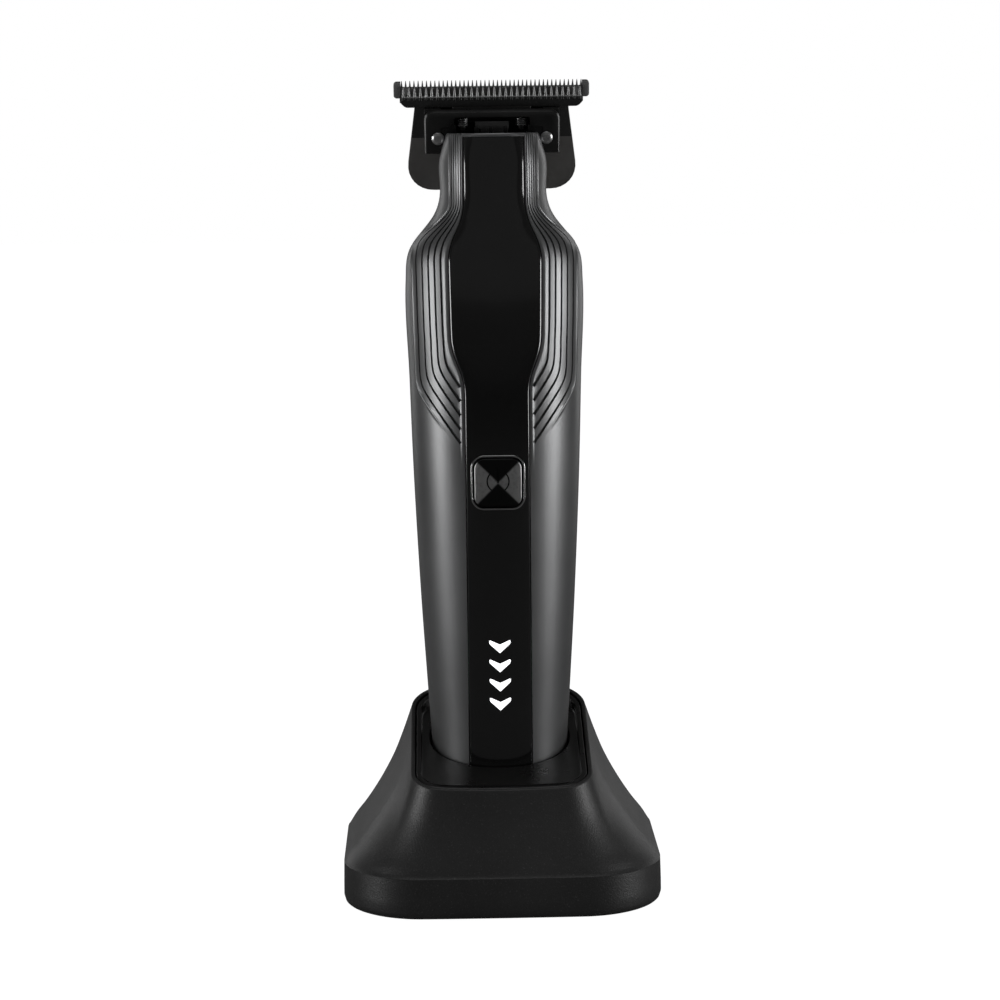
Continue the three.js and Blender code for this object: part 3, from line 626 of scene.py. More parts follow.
def bodyRows(top):
    # (height, inset, reach towards the seam): the flat foot, its rounded rim, then the wall
    r, foot, lead = body["rounding"], body["foot"], body["topRound"]
    rows = [(foot, r, t) for t in steps(0, 1, 6)[:-1]]
    rows += [(foot + r * (1 - math.cos(a)), r * (1 - math.sin(a)), 1) for a in steps(0, math.pi / 2, 5)]
    low, high = panel["bottom"] - panel["fit"], panel["top"] + panel["fit"]
    rows += [(z, 0, 1) for z in steps(low, high, round((high - low) / body["step"]))]
    return rows + [(top - lead, lead / 4, 1), (top, lead, 1)]


def faceAway(bm, centre):
    # an open skin is turned so that its faces look away from the centre
    bmesh.ops.recalc_face_normals(bm, faces=bm.faces)
    bm.normal_update()
    if sum(f.normal.dot(f.calc_center_median() - centre) * f.calc_area() for f in bm.faces) < 0:
        bmesh.ops.reverse_faces(bm, faces=bm.faces)


def halfShell(back):
    rows = bodyRows(body["top"])
    cache = {}

    def columnsAt(z):
        if z not in cache:
            if back:
                angles = steps(seamAngle(z, True), math.pi / 2, body["rearColumns"])
                cache[z] = [(angle, 0) for angle in angles]
            else:
                cache[z] = shellColumns(z)
        return cache[z]

    half = len(columnsAt(body["foot"])) - 1

    def place(i, j):
        z, inset, out = rows[j]
        columns = columnsAt(z)
        angle, proud = columns[min(i, 2 * half - i)]
        point = bodyPoint(angle, z, inset, back)
        seam = body["seam"] if back else -body["seam"]
        point = point + outwardAt(point) * proud
        point.y = mix(seam, point.y, out)
        if i > half:
            point.x = -point.x
        return point

    bm = sheet(2 * half, len(rows) - 1, place)
    if not back:
        low, high = panel["bottom"] - panel["fit"], panel["top"] + panel["fit"]
        middles = [(f, f.calc_center_median()) for f in bm.faces]
        opening = [f for f, c in middles if low < c.z < high and abs(c.x) < panelHalf(c.z)]
        bmesh.ops.delete(bm, geom=opening, context="FACES")
    faceAway(bm, bodyMiddle)
    return bm


def grooveTool(side, k):
    # a flat-bottomed cutter that follows the panel's edge, then turns in to end at it
    g = grooves
    end, top = g["endHeight"] - g["endPitch"] * k, body["top"] + 2
    heights = steps(top, end, g["stops"])
    rings = []
    for z in heights:
        x = grooveX(k, z)
        low = min(z, body["top"])
        point = skin(x, low)
        ahead = skin(grooveX(k, low + 0.1), low + 0.1)
        normal = (skin(x + 0.05, low) - skin(x - 0.05, low)).cross(Vector((0, 0, 1))).normalized()
        normal = normal if normal.y < 0 else -normal
        across = normal.cross((ahead - point).normalized()).normalized()
        neck = neckShare(z)
        widen = mix(g["endWiden"], 1, smoothStep(end, end + g["endLength"], z))
        wide = mix(g["width"], g["neckWidth"], neck) * widen / 2
        deep = mix(g["depth"], g["neckDepth"], neck)
        point = Vector((x, point.y, z))
        section = ((-1.25, 0.5), (-1, 0), (-0.45, -deep), (0.45, -deep), (1, 0), (1.25, 0.5))
        ring = [point + across * wide * s + normal * h for s, h in section]
        rings.append([Vector((p.x * side, p.y, p.z)) for p in ring])
    return loft(rings)


port = {
    "half": 4.45, "tall": 1.55, "wall": 0.32, "length": 6.8, "deep": 5.4, "tongue": 3.3, "y": -5.5,
    "mouth": (4.75, 1.85, 1.5), "dockHeight": 7.05, "dockGap": 0.25,
}
contact = {"x": 7, "y": 5, "opening": 2.5, "pad": 2.2, "padHigh": 0.7, "hole": 1.1}
contactSides = (("left", -contact["x"]), ("right", contact["x"]))
housingScrews = [(10, 106.2), (-10, 106.2), (9.5, 28), (-9.5, 28)]
counterbore = {"radius": 2.3, "floor": 3.5, "wall": 0.9, "gap": 0.05, "under": 0.2, "head": 5.4}


def footHole(halfX, halfY, corner, x, y):
    # a cutter through the body's foot
    outline = [(a + x, b + y) for a, b in roundedLoop(halfX, halfY, halfY, corner, 10)]
    return loft([flatRing(outline, body["foot"] + z) for z in (-3, 3)])


def makeFrontShell():
    shell = objectFrom(halfShell(False), "front_shell_skin")
    thicken(shell, body["wall"])
    carve(shell, together(*(grooveTool(side, k) for side in (-1, 1) for k in range(grooves["count"]))))
    carve(shell, footHole(*port["mouth"], 0, port["y"]))
    finishPiece(shell, "front_shell_skin", "shell_satin", "clipper", "front_shell", sharp=28)


def boreSleeve(x, z):
    # a tube from the screw's seat out to just under the skin
    bore = counterbore

    def place(i, j):
        angle = 2 * math.pi * i / 40
        radius = bore["radius"] + (0, 0, bore["wall"], bore["wall"])[j]
        px, pz = x + radius * math.cos(angle), z + radius * math.sin(angle)
        deep = j in (0, 3)
        return Vector((px, bore["floor"] if deep else skin(px, pz, True).y - bore["under"], pz))

    tube = sheet(40, 4, place, True, True)
    bmesh.ops.recalc_face_normals(tube, faces=tube.faces)
    return together(tube, rod(bore["radius"] + bore["wall"], x, z, bore["floor"] - 0.6, bore["floor"], 40))


def makeRearShell():
    shell = objectFrom(halfShell(True), "rear_shell_skin")
    thicken(shell, body["wall"])
    wide, opening = counterbore["radius"] + counterbore["gap"], contact["opening"]
    carve(shell, together(*(rod(wide, x, z, 6, 20, 40) for x, z in housingScrews)))
    carve(shell, together(*(footHole(opening, opening, opening - 0.01, x, contact["y"])
                            for _, x in contactSides)))
    attach(shell, together(*(boreSleeve(x, z) for x, z in housingScrews)))
    finishPiece(shell, "rear_shell_skin", "shell_satin", "clipper", "rear_shell", sharp=28)


makeFrontShell()
makeRearShell()
print("shells ready")


def makeFrontPanel():
    # columns are closest beside the edges, where the face drops away
    margin = panel["margin"]
    near = [margin * t for t in (0, 0.08, 0.2, 0.4)]
    spread = [t - 1 for t in near] + steps(margin - 1, 1 - margin, 24) + [1 - t for t in reversed(near)]
    heights = steps(panel["bottom"], panel["top"], round((panel["top"] - panel["bottom"]) / body["step"]))

    def place(i, j):
        z, share = heights[j], abs(spread[i])
        point = skin(share * panelHalf(z), z)
        drop = panel["edge"] * max(0, 1 - (1 - share) / (margin * 0.3)) ** 2
        return Vector((math.copysign(point.x, spread[i]), point.y + drop, z))

    bm = sheet(len(spread) - 1, len(heights) - 1, place)
    faceAway(bm, bodyMiddle)
    glass = objectFrom(bm, "front_panel_gloss")
    thicken(glass, panel["thick"])
    hole = bezelLoop(bezel["outer"] + bezel["fit"])
    carve(glass, loft([facingRing(hole, y, button["z"]) for y in (-20, -10)]))
    carve(glass, together(*(chevron(i, lights["fit"], -20, -8) for i in range(lights["count"]))))
    finishPiece(glass, "front_panel_gloss", "panel_gloss", "clipper", "front_panel")


bezel = {"outer": 5.74, "inner": 5.33, "front": -16.3, "back": -14.7, "round": 0.14, "fit": 0.08}


def bezelLoop(half):
    high = half + button["tall"]
    return roundedLoop(half, high, high, button["corner"] + half - button["half"])


def makeBezel():
    r, front, back = bezel["round"], bezel["front"], bezel["back"]
    rims = [(r * (1 - math.cos(a)), front + r * (1 - math.sin(a))) for a in steps(0, math.pi / 2, 4)]
    outer = [(bezel["outer"] - inset, y) for inset, y in rims]
    inner = [(bezel["inner"] + inset, y) for inset, y in reversed(rims)]
    section = [(bezel["outer"], back), *outer, *inner, (bezel["inner"], back)]
    rings = [facingRing(bezelLoop(half), y, button["z"]) for half, y in section]
    finishPiece(loft(rings, True), "bezel_ring", "bezel_chrome", "clipper", "button_bezel")


icon = {
    "radius": 2.3, "line": 0.3, "from": 48, "to": -55, "rise": 0.3, "low": -0.36, "high": 3.03,
    "deep": 0.3, "steps": 24,
}


def iconTool():
    # two open arcs and a stroke, as cutters that stand through the button's face
    near, far = button["face"] - 1, button["face"] + icon["deep"]
    middle = button["z"] + icon["rise"]

    def arc(side):
        def place(i, j):
            angle = math.radians(mix(icon["from"], icon["to"], j / icon["steps"]))
            radius = icon["radius"] + icon["line"] * (-0.5, 0.5, 0.5, -0.5)[i]
            y = (near, near, far, far)[i]
            return Vector((side * radius * math.cos(angle), y, middle + radius * math.sin(angle)))

        bm = sheet(4, icon["steps"], place, True)
        bmesh.ops.holes_fill(bm, edges=bm.edges, sides=0)
        bmesh.ops.recalc_face_normals(bm, faces=bm.faces)
        return bm

    half = icon["line"] / 2
    stroke = block((-half, half), (near, far), (middle + icon["low"], middle + icon["high"]))
    return together(arc(1), arc(-1), stroke)


def makeButton():
    b = button

    def outline(inset):
        return bezelLoop(b["half"] - inset)

    def facing(loop, y):
        return facingRing(loop, y, b["z"])

    face, back = b["face"], b["face"] + b["thick"]
    key = objectFrom(roundedSlab(outline, face, back, b["edge"], facing, 4), "button_key")
    carve(key, iconTool())
    flange = loft([facing(bezelLoop(b["flange"]), face + y) for y in b["flangeAt"]])
    attach(key, together(flange, rod(b["stemRadius"], 0, b["z"], back + 0.2, b["stem"])))
    finishPiece(key, "button_key", "button_metal", "button", "power_button")


lights = {
    "count": 4, "top": 57.1, "pitch": 4.2, "half": 2.2, "notch": 1.05, "tip": 2.8, "end": 0.75, "fit": 0.06,
    "corner": 0.34, "under": 0.03, "back": -12.3, "bar": ((-2.9, 2.9), (-12.5, -11.5), (41.1, 57.9)),
}


def chevron(index, grow, near, far):
    g = lights
    top = g["top"] - index * g["pitch"] + grow
    side = g["half"] + grow
    end, tip = top - g["end"] - 2 * grow, top - g["tip"] - 2 * grow
    outline = [(0, top - g["notch"]), (-side, top), (-side, end), (0, tip), (side, end), (side, top)]
    return plate(outline, near, far, corners=[(i, g["corner"]) for i in (1, 2, 4, 5)])


def makeLightGuide():
    # four raised arrows on the bar that joins them behind the panel
    g = lights
    arrows = []
    for i in range(g["count"]):
        middle = g["top"] - i * g["pitch"] - g["tip"] / 2
        arrows.append(chevron(i, 0, skin(0, middle).y + g["under"], g["back"]))
    finishPiece(together(*arrows, block(*g["bar"], 0.1)), "lit_chevrons", "light_white", "clipper",
                "light_guide")


makeFrontPanel()
makeBezel()
makeButton()
makeLightGuide()
print("panel, button and lights ready")


def screw(profile, cross, deep):
    # a screw that stands up with its head on top, with a cross recess
    obj = objectFrom(turned(profile, 28), "screw")
    top, thin = profile[-1][1], cross * 0.28
    for a, b in ((cross, thin), (thin, cross)):
        carve(obj, block((-a, a), (-b, b), (top - deep, top + 1)))
    return obj


def placeScrew(node, slot, rider, at, facing, look, frameTurn=Matrix()):
    turn = Vector((0, 0, 1)).rotation_difference(Vector(facing)).to_matrix().to_4x4()
    finishPiece(screw(look["profile"], look["cross"], look["deep"]), f"{node}_made", slot, rider, node,
                turn=frameTurn @ Matrix.Translation(at) @ turn)


# Screw profiles are (radius, height) from the tip up to the head's top at 0.
housingScrew = {
    "profile": [(0.5, -11.9), (0.9, -11.2), (1, -10.8), (1, -1.4), (1.9, -1.4), (2, -1.2), (2, -0.55),
                (1.8, -0.2), (1.3, 0)],
    "cross": 1.05, "deep": 0.7,
}
for i, (x, z) in enumerate(housingScrews):
    placeScrew(f"housing_screw_{i + 1}", "screw_steel", "clipper", (x, counterbore["head"], z), (0, 1, 0),
               housingScrew)


def padDisc(radius, low, high, edge, x, y):
    return roundedSlab(lambda inset: circleLoop(radius - inset, 36, x, y), low, high, edge)


for label, x in contactSides:
    disc = padDisc(contact["pad"], body["foot"], body["foot"] + contact["padHigh"], 0.12, x, contact["y"])
    finishPiece(disc, f"charge_pad_{label}", "contact_gold", "clipper", f"contact_pad_{label}")


def makePort(name, node, rider, turn):
    # an oval metal can, open at its lower end, with a thin tongue inside
    p = port
    wall, lip, thickBack = p["wall"], 0.06, p["wall"] + 0.6

    def oval(inset):
        tall = p["tall"] - inset
        return roundedLoop(p["half"] - inset, tall, tall, tall - 0.05, 10)

    levels = [(lip, 0), (0, lip), (0, p["length"]), (thickBack, p["length"]), (thickBack, p["deep"]),
              (wall, p["deep"]), (wall, lip), (wall - lip, 0)]
    can = loft([flatRing(oval(inset), z) for inset, z in levels], True)
    back = block((-p["half"] + 0.9, p["half"] - 0.9), (-0.6, 0.6), (p["deep"], p["length"] - 0.05))
    tongue = block((-p["tongue"], p["tongue"]), (-0.35, 0.35), (0.8, p["deep"] + 0.1), 0.08)
    finishPiece(together(can, back, tongue), name, "steel_plain", rider, node, turn=turn)


makePort("charge_port", "charge_socket", "clipper", Matrix.Translation((0, port["y"], 18.4)))
makePort("dock_port", "dock_socket", "dock",
         Matrix.Translation((0, 31, port["dockHeight"])) @ Matrix.Rotation(math.pi / 2, 4, "X"))

# The blade set is drawn flat, then leaned forward about the top of the neck.
head = {"lean": math.radians(14), "y": 7.6, "z": 164.2}
headTurn = Matrix.Translation((0, head["y"], head["z"])) @ Matrix.Rotation(head["lean"], 4, "X")

fixedBlade = {
    "thick": 1.5, "waist": 16.6, "waistAt": 5.2, "bottomHalf": 18.9, "bottom": -12.7, "corner": 6.2,
    "barHalf": 19.7, "barLow": 6.6, "barHigh": 9.9, "tip": 11.4, "pitch": 0.896, "teeth": 44,
    "root": 0.3, "point": 0.06, "pointFrom": 0.1, "pointTo": 0.55, "toothEdge": 0.03,
    "lugIn": 19.5, "lugOut": 21, "lugLow": 7.7, "lugHigh": 11.1, "lugProud": 0.25, "lugCorner": 0.7,
}
cutter = {
    "half": 19.4, "low": 6, "high": 8.35, "front": -1.66, "back": -0.3, "tip": 10.5, "pitch": 1.22,
    "teeth": 32, "tooth": 0.5, "toothLow": 7.2, "point": 0.13, "toothIn": 0.56, "toothDeep": 0.72,
    "pointDeep": 0.3, "pointIn": 0.25, "tang": 8.4, "tangLow": 0.9, "chamfer": 0.9,
}


def rowOf(count, pitch, tooth):
    # copies one tooth along X, evenly about the middle
    whole = bmesh.new()
    mesh = bpy.data.meshes.new("tooth")
    tooth.to_mesh(mesh)
    tooth.free()
    for i in range(count):
        whole.from_mesh(mesh)
        whole.verts.ensure_lookup_table()
        bmesh.ops.translate(whole, verts=whole.verts[-len(mesh.vertices):],
                            vec=((i - (count - 1) / 2) * pitch, 0, 0))
    bpy.data.meshes.remove(mesh)
    return whole


def makeFixedBlade():
    b = fixedBlade
    waist, bottom, thick = b["waist"], b["bottomHalf"], b["thick"]
    top = b["barLow"] + 1.6
    outline = [(waist, top), (-waist, top), (-waist, b["waistAt"]), (-bottom, b["bottom"]),
               (bottom, b["bottom"]), (waist, b["waistAt"])]
    tang = plate(outline, 0, thick, 0.18, corners=((3, b["corner"]), (4, b["corner"])))
    bar = block((-b["barHalf"], b["barHalf"]), (0, thick), (b["barLow"], b["barHigh"]), 0.15)
    middle = (b["barHigh"] + b["tip"]) / 2
    tooth = block((-b["root"], b["root"]), (0.02, thick - 0.02), (b["barHigh"] - 0.5, b["tip"]))
    for v in tooth.verts:
        if v.co.z > middle:
            v.co.x *= b["point"] / b["root"]
            v.co.y = b["pointFrom"] if v.co.y < thick / 2 else b["pointTo"]
    roundOff(tooth, tooth.edges, b["toothEdge"], 1)
    lugs = []
    for side in (-1, 1):
        left, right = sorted((side * b["lugIn"], side * b["lugOut"]))
        outline = [(left, b["lugLow"]), (right, b["lugLow"]), (right, b["lugHigh"]), (left, b["lugHigh"])]
        outer = (1, 2) if side > 0 else (0, 3)
        lugs.append(plate(outline, -b["lugProud"], thick, 0.2, [(i, b["lugCorner"]) for i in outer]))
    finishPiece(together(tang, bar, *lugs, rowOf(b["teeth"], b["pitch"], tooth)), "comb_blade",
                "blade_black", "clipper", "fixed_blade", turn=headTurn)


def makeMovingBlade():
    c = cutter
    half, low, high, cut = c["half"], c["low"], c["high"], c["chamfer"]
    outline = [(cut - half, low), (half - cut, low), (half, low + cut), (half, high), (-half, high),
               (-half, low + cut)]
    bar = plate(outline, c["front"], c["back"], 0.12, corners=((0, 0.5), (1, 0.5)))
    # each tooth is a ball drawn out to a point, with a round foot on the bar
    tooth = bmesh.new()
    bmesh.ops.create_uvsphere(tooth, u_segments=14, v_segments=10, radius=1)
    middle = c["toothLow"] + c["tooth"]
    for v in tooth.verts:
        up = v.co.z
        flat = math.hypot(v.co.x, v.co.y)
        if up > 0 and flat > 1e-3:
            v.co.x, v.co.y = v.co.x / flat, v.co.y / flat
        taper = max(up, 0)
        v.co.x *= mix(c["tooth"], c["point"], taper)
        deep = v.co.y * mix(c["toothDeep"], c["pointDeep"], taper)
        v.co.y = c["front"] + c["toothIn"] + deep + c["pointIn"] * taper
        v.co.z = middle + up * (c["tip"] - middle if up > 0 else c["tooth"])
    tang = block((-c["tang"], c["tang"]), (c["front"], c["back"]), (c["tangLow"], low + 0.3), 0.12)
    finishPiece(together(bar, tang, rowOf(c["teeth"], c["pitch"], tooth)), "cutter_blade", "blade_black",
                "cutter", "moving_blade", sharp=50, turn=headTurn)


bracket = {
    "half": 14.5, "legIn": 10.95, "legLow": -3.5, "top": 6, "front": -5.3, "back": -2.1, "legBack": -0.3,
    "window": 8.1, "windowTop": 4.7, "arch": 2.6, "archEdge": 0.4, "windowEdge": 0.5, "corner": 2.2,
    "edge": 1.1, "ribs": (-3.3, -0.3, 2.9), "ribHalf": 0.5, "ribDeep": (-5.2, -4.65), "ribHigh": (0, 2.6),
    "shelf": ((-4.9, -4.4), (-1.4, 1.1)), "cheek": ((-4.9, -2.4), (-1.4, 2.8)), "through": (-9, 3),
}


def makeBracket():
    # an arch over the cutter's tang, with a window, ribs and a shelf in it, and a leg down each side
    b = bracket
    half, low, top, window = b["half"], b["legLow"], b["top"], b["window"]
    outline = [(-half, low), (half, low), (half, top), (-half, top)]
    corners = ((2, b["corner"]), (3, b["corner"]))
    arch = objectFrom(plate(outline, b["front"], b["back"], b["edge"], corners), "arch")
    carve(arch, block((-b["legIn"], b["legIn"]), b["through"], (low - 3, b["arch"]), b["archEdge"]))
    carve(arch, block((-window, window), b["through"], (0, b["windowTop"]), b["windowEdge"]))
    legDeep, legHigh = (b["back"] - 0.4, b["legBack"]), (low + 0.1, top - 0.1)
    fittings = [block((x - b["ribHalf"], x + b["ribHalf"]), b["ribDeep"], b["ribHigh"], 0.24)
                for x in b["ribs"]]
    fittings.append(block((0.2 - window, window - 0.2), *b["shelf"], 0.1))
    for side in (-1, 1):
        fittings.append(block(sorted((side * b["legIn"], side * half)), legDeep, legHigh, 0.2))
        fittings.append(block(sorted((side * (window - 0.4), side * (b["legIn"] + 0.3))), *b["cheek"], 0.1))
    attach(arch, together(*fittings))
    finishPiece(arch, "blade_bracket", "bracket_plastic", "clipper", "head_bracket", turn=headTurn)


spring = {
    "x": 6.3, "y": -3.5, "low": 2.2, "high": 4.4, "radius": 0.98, "wire": 0.2, "turns": 4,
    "turnSteps": 20, "post": 0.62, "postEnd": 0.4,
}


def makeSpring(label, side):
    # a wire bent round its post
    s = spring
    low, high, wire, post = s["low"], s["high"], s["wire"], s["post"]
    bm = bmesh.new()
    bmesh.ops.create_circle(bm, segments=10, radius=wire)
    bmesh.ops.rotate(bm, verts=bm.verts, cent=(0, 0, 0), matrix=Matrix.Rotation(math.pi / 2, 3, "X"))
    bmesh.ops.translate(bm, verts=bm.verts, vec=(s["radius"], 0, low + wire))
    count = s["turns"] * s["turnSteps"]
    rise = (high - low - 2 * wire) / count
    bmesh.ops.spin(bm, geom=bm.verts[:] + bm.edges[:], cent=(0, 0, 0), axis=(0, 0, 1), dvec=(0, 0, rise),
                   angle=math.pi * 2 * s["turns"], steps=count)
    bmesh.ops.holes_fill(bm, edges=bm.edges, sides=0)
    bmesh.ops.recalc_face_normals(bm, faces=bm.faces)
    stem = turned([(post - 0.07, low - 0.6), (post, low - 0.4), (post, high - 0.2), (s["postEnd"], high)], 20)
    bm = shifted(together(bm, stem), (side * s["x"], s["y"], 0))
    finishPiece(bm, f"tension_coil_{label}", "screw_steel", "clipper", f"tension_spring_{label}",
                turn=headTurn)


bladeScrew = {
    "profile": [(0.3, -6.6), (0.5, -6.4), (0.5, -0.8), (1.25, -0.8), (1.35, -0.7), (1.35, -0.4),
                (1.1, -0.12), (0.7, 0)],
    "cross": 0.6, "deep": 0.25, "x": 11.6, "y": -5.9, "z": 0.1,
}

makeFixedBlade()
makeMovingBlade()
makeBracket()
for label, side in (("left", -1), ("right", 1)):
    makeSpring(label, side)
    headAt = (side * bladeScrew["x"], bladeScrew["y"], bladeScrew["z"])
    placeScrew(f"blade_screw_{label}", "steel_plain", "clipper", headAt, (0, -1, 0), bladeScrew, headTurn)
print("blade set ready")

# Dock outlines: height, half-width, reach to front and back, corner radius at front and back,
# and how far the front's ends are drawn back.
dock = {
    "foot": (0.8, 34, 32, 32, 17, 17, 0.6), "band": (2.2, 34.2, 32, 32, 17, 17, 0.6),
    "bandTop": (9.35, 34.1, 31.5, 31.5, 17, 17, 0.6), "crease": (9.8, 33.8, 31.05, 31.05, 17, 17, 0.6),
    "rim": (0, 19.4, 26, 19.8, 6, 10.2, 1.5), "rimAt": 34.7, "rimSlope": 0.297, "rimRound": 0.3,
    "flare": {0: (0,), 0.09: (0.103,), 0.19: (0.247,), 0.3: (0.387,), 0.42: (0.525,), 0.6: (0.706,),
              0.8: (0.862,), 1: (1,)},
    "footWall": 2.4, "rimWall": 0.9, "around": 224, "climb": 44,
}
tray = {
    "floorAt": 33, "slope": 0.25, "lip": 0.25, "rim": 1.0, "fit": 0.4, "out": 1.2, "round": 0.5,
    "thick": 1.4, "well": 0.3, "wellThick": 1.5,
}
drawIn = curveThrough(dock["flare"])


def rayLoop(width, front, back, frontCorner, backCorner, count):
    # rounded rectangle met by rays at even angles, so that unlike outlines join up straight
    points = []
    for i in range(count):
        angle = 2 * math.pi * i / count
        c, s = math.cos(angle), math.sin(angle)
        reach, corner = (back, backCorner) if s > 0 else (front, frontCorner)
        t = min(width / max(abs(c), 1e-9), reach / max(abs(s), 1e-9))
        cx, cy = width - corner, reach - corner
        if abs(c) * t > cx and abs(s) * t > cy:
            along = abs(c) * cx + abs(s) * cy
            t = along + math.sqrt(max(along ** 2 - cx ** 2 - cy ** 2 + corner ** 2, 0))
        points.append((c * t, s * t))
    return points


def dockLoop(spec, inset):
    # corners tighten half as fast as the outline draws in
    reaches = [reach - inset for reach in spec[1:4]]
    corners = [corner - inset / 2 for corner in spec[4:6]]
    loop = rayLoop(*reaches, *corners, dock["around"])
    return [(x, y + spec[6] * (x / spec[1]) ** 2 * smoothStep(0, -15, y)) for x, y in loop]


def dockRing(spec, inset=0.0, lift=0.0):
    return [Vector((x, y, spec[0] + lift)) for x, y in dockLoop(spec, inset)]


def rimRing(inset=0.0, lift=0.0):
    at, slope = dock["rimAt"] + lift, dock["rimSlope"]
    return [Vector((x, y, at + slope * y)) for x, y in dockLoop(dock["rim"], inset)]


def climbRings(low, high):
    # the wall between the crease and the rim, drawn in along one curve
    rings = []
    for up in steps(0, 1, dock["climb"])[1:-1]:
        inward = drawIn(up)[0]
        rings.append([Vector((mix(a.x, b.x, inward), mix(a.y, b.y, inward), mix(a.z, b.z, up)))
                      for a, b in zip(low, high)])
    return rings


def makeDockShell():
    # rings go up the outside from the foot, over the rim and down the inside
    d, wall = dock, dock["footWall"]
    outerLow, outerHigh = dockRing(d["crease"]), rimRing(0, -d["rimRound"])
    innerLow, innerHigh = dockRing(d["crease"], wall), rimRing(d["rimWall"], -d["rimRound"])
    rings = [dockRing(d["foot"], inset, lift) for inset, lift in ((0.7, 0), (0.35, 0.08), (0.1, 0.35))]
    rings += [dockRing(d["band"]), dockRing(d["band"], 0.02, 2.4), dockRing(d["bandTop"], 0, -0.25)]
    rings += [dockRing(d["bandTop"]), outerLow, *climbRings(outerLow, outerHigh), outerHigh]
    rings += [rimRing(inset, lift) for inset, lift in ((0.05, -0.1), (0.2, 0), (0.65, 0), (0.84, -0.08))]
    rings += [innerHigh, *reversed(climbRings(innerLow, innerHigh)), innerLow, dockRing(d["band"], wall),
              dockRing(d["foot"], wall)]
    shell = objectFrom(loft(rings, True), "dock_body")
    tall = port["tall"] + port["dockGap"]
    slot = roundedLoop(port["half"] + port["dockGap"], tall, tall, tall - 0.05, 10)
    carve(shell, loft([facingRing(slot, y, port["dockHeight"]) for y in (24, 40)]))
    finishPiece(shell, "dock_body", "dock_matte", "dock", "dock_shell", sharp=38)


def bodyRayRing(z, grow):
    # the body's section at this height, met by the same even rays
    width, front, back = (value + grow for value in bodySize(z))
    ring = []
    for i in range(dock["around"]):
        angle = 2 * math.pi * i / dock["around"]
        c, s = math.cos(angle), math.sin(angle)
        n = body["squareness"][s > 0]
        reach = back if s > 0 else front
        r = ((abs(c) / width) ** n + (abs(s) / reach) ** n) ** (-1 / n)
        ring.append((c * r, s * r))
    return ring


def makeDockLiner():
    # rings go from the tray's underside up over its lip, across its floor, and down the well and back
    t = tray
    thick, lip, fit, out = t["thick"], t["lip"], t["fit"], t["out"]
    wellFloor = body["foot"] - t["well"]
    wellUnder = wellFloor - t["wellThick"]
    wellWall = wellFloor + 0.6

    def floorAt(y, lift):
        return t["floorAt"] + t["slope"] * y + lift

    def slopedRing(loop, lift):
        return [Vector((x, y, floorAt(y, lift))) for x, y in loop]

    def traceRing(inset, lift):
        return slopedRing(dockLoop(dock["rim"], inset), lift)

    def wellRing(share, z):
        return flatRing([(x * share, y * share) for x, y in bodyRayRing(wellFloor, -1)], z)

    inside, r = out + t["rim"], t["round"]
    rings = [traceRing(inside + 1, -thick), traceRing(out, -thick)]
    rings += [rimRing(out + inset, -lip - drop) for inset, drop in ((0, 0.15), (0.12, 0.03), (0.3, 0))]
    rings += [rimRing(inside - inset, -lip - drop) for inset, drop in ((0.25, 0), (0.06, 0.08), (0, 0.28))]
    rings += [traceRing(inside + r * (1 - math.cos(a)), r * (1 - math.sin(a)))
              for a in steps(0, math.pi / 2, 4)]
    rings += [slopedRing(bodyRayRing(t["floorAt"], fit + grow), lift)
              for grow, lift in ((0.5, 0), (0.15, -0.12))]
    for down in steps(0, 1, 6):
        loop = bodyRayRing(mix(t["floorAt"] - 1, wellWall, down), fit)
        rings.append([Vector((x, y, mix(floorAt(y, -0.5), wellWall, down))) for x, y in loop])
    rings += [flatRing(bodyRayRing(wellFloor, fit - g), wellFloor + h) for g, h in ((0.18, 0.18), (0.6, 0))]
    rings += [wellRing(0.8, wellFloor), wellRing(0.02, wellFloor)]
    rings += [wellRing(0.02, wellUnder), wellRing(0.8, wellUnder)]
    rings.append(flatRing(bodyRayRing(wellFloor, fit + 1), wellUnder))
    rings.append(slopedRing(bodyRayRing(t["floorAt"], fit + 1), -thick))
    liner = objectFrom(loft(rings, True), "dock_tray")
    holes = [circleLoop(contact["hole"], 24, x, contact["y"]) for _, x in contactSides]
    carve(liner, together(*(loft([flatRing(hole, z) for z in (10, 22)]) for hole in holes)))
    finishPiece(liner, "dock_tray", "bracket_plastic", "dock", "dock_liner", sharp=38)


base = {
    "low": 0.8, "high": 3.2, "inset": 2.8, "holes": [(26.5, 10), (-26.5, 10), (26.5, -10), (-26.5, -10)],
    "holeRadius": 2.9, "holeTop": 2.2, "feet": [(23, 19), (-23, 19), (23, -19), (-23, -19)],
    "footRadius": 4.2, "footHigh": 0.5, "footSink": 0.34, "footGap": 0.3, "footTop": 0.85,
    "bars": (-6, -3, 0, 3, 6), "barHalf": (16, 0.7), "barTop": 1.3,
    "footGroove": ((3.1, -0.2), (3.0, 0.16), (2.4, 0.16), (2.3, -0.2)),
}
dockScrew = {
    "profile": [(0.6, -11), (1.1, -10.2), (1.2, -9.8), (1.2, -0.9), (2.4, -0.9), (2.5, -0.8), (2.5, -0.4),
                (2.2, -0.12), (1.6, 0)],
    "cross": 1.3, "deep": 0.6, "head": 1,
}


def discHoles(places, radius, top, count):
    # cutters that come up from below
    loops = [circleLoop(radius, count, x, y) for x, y in places]
    return together(*(loft([flatRing(loop, z) for z in (0, top)]) for loop in loops))


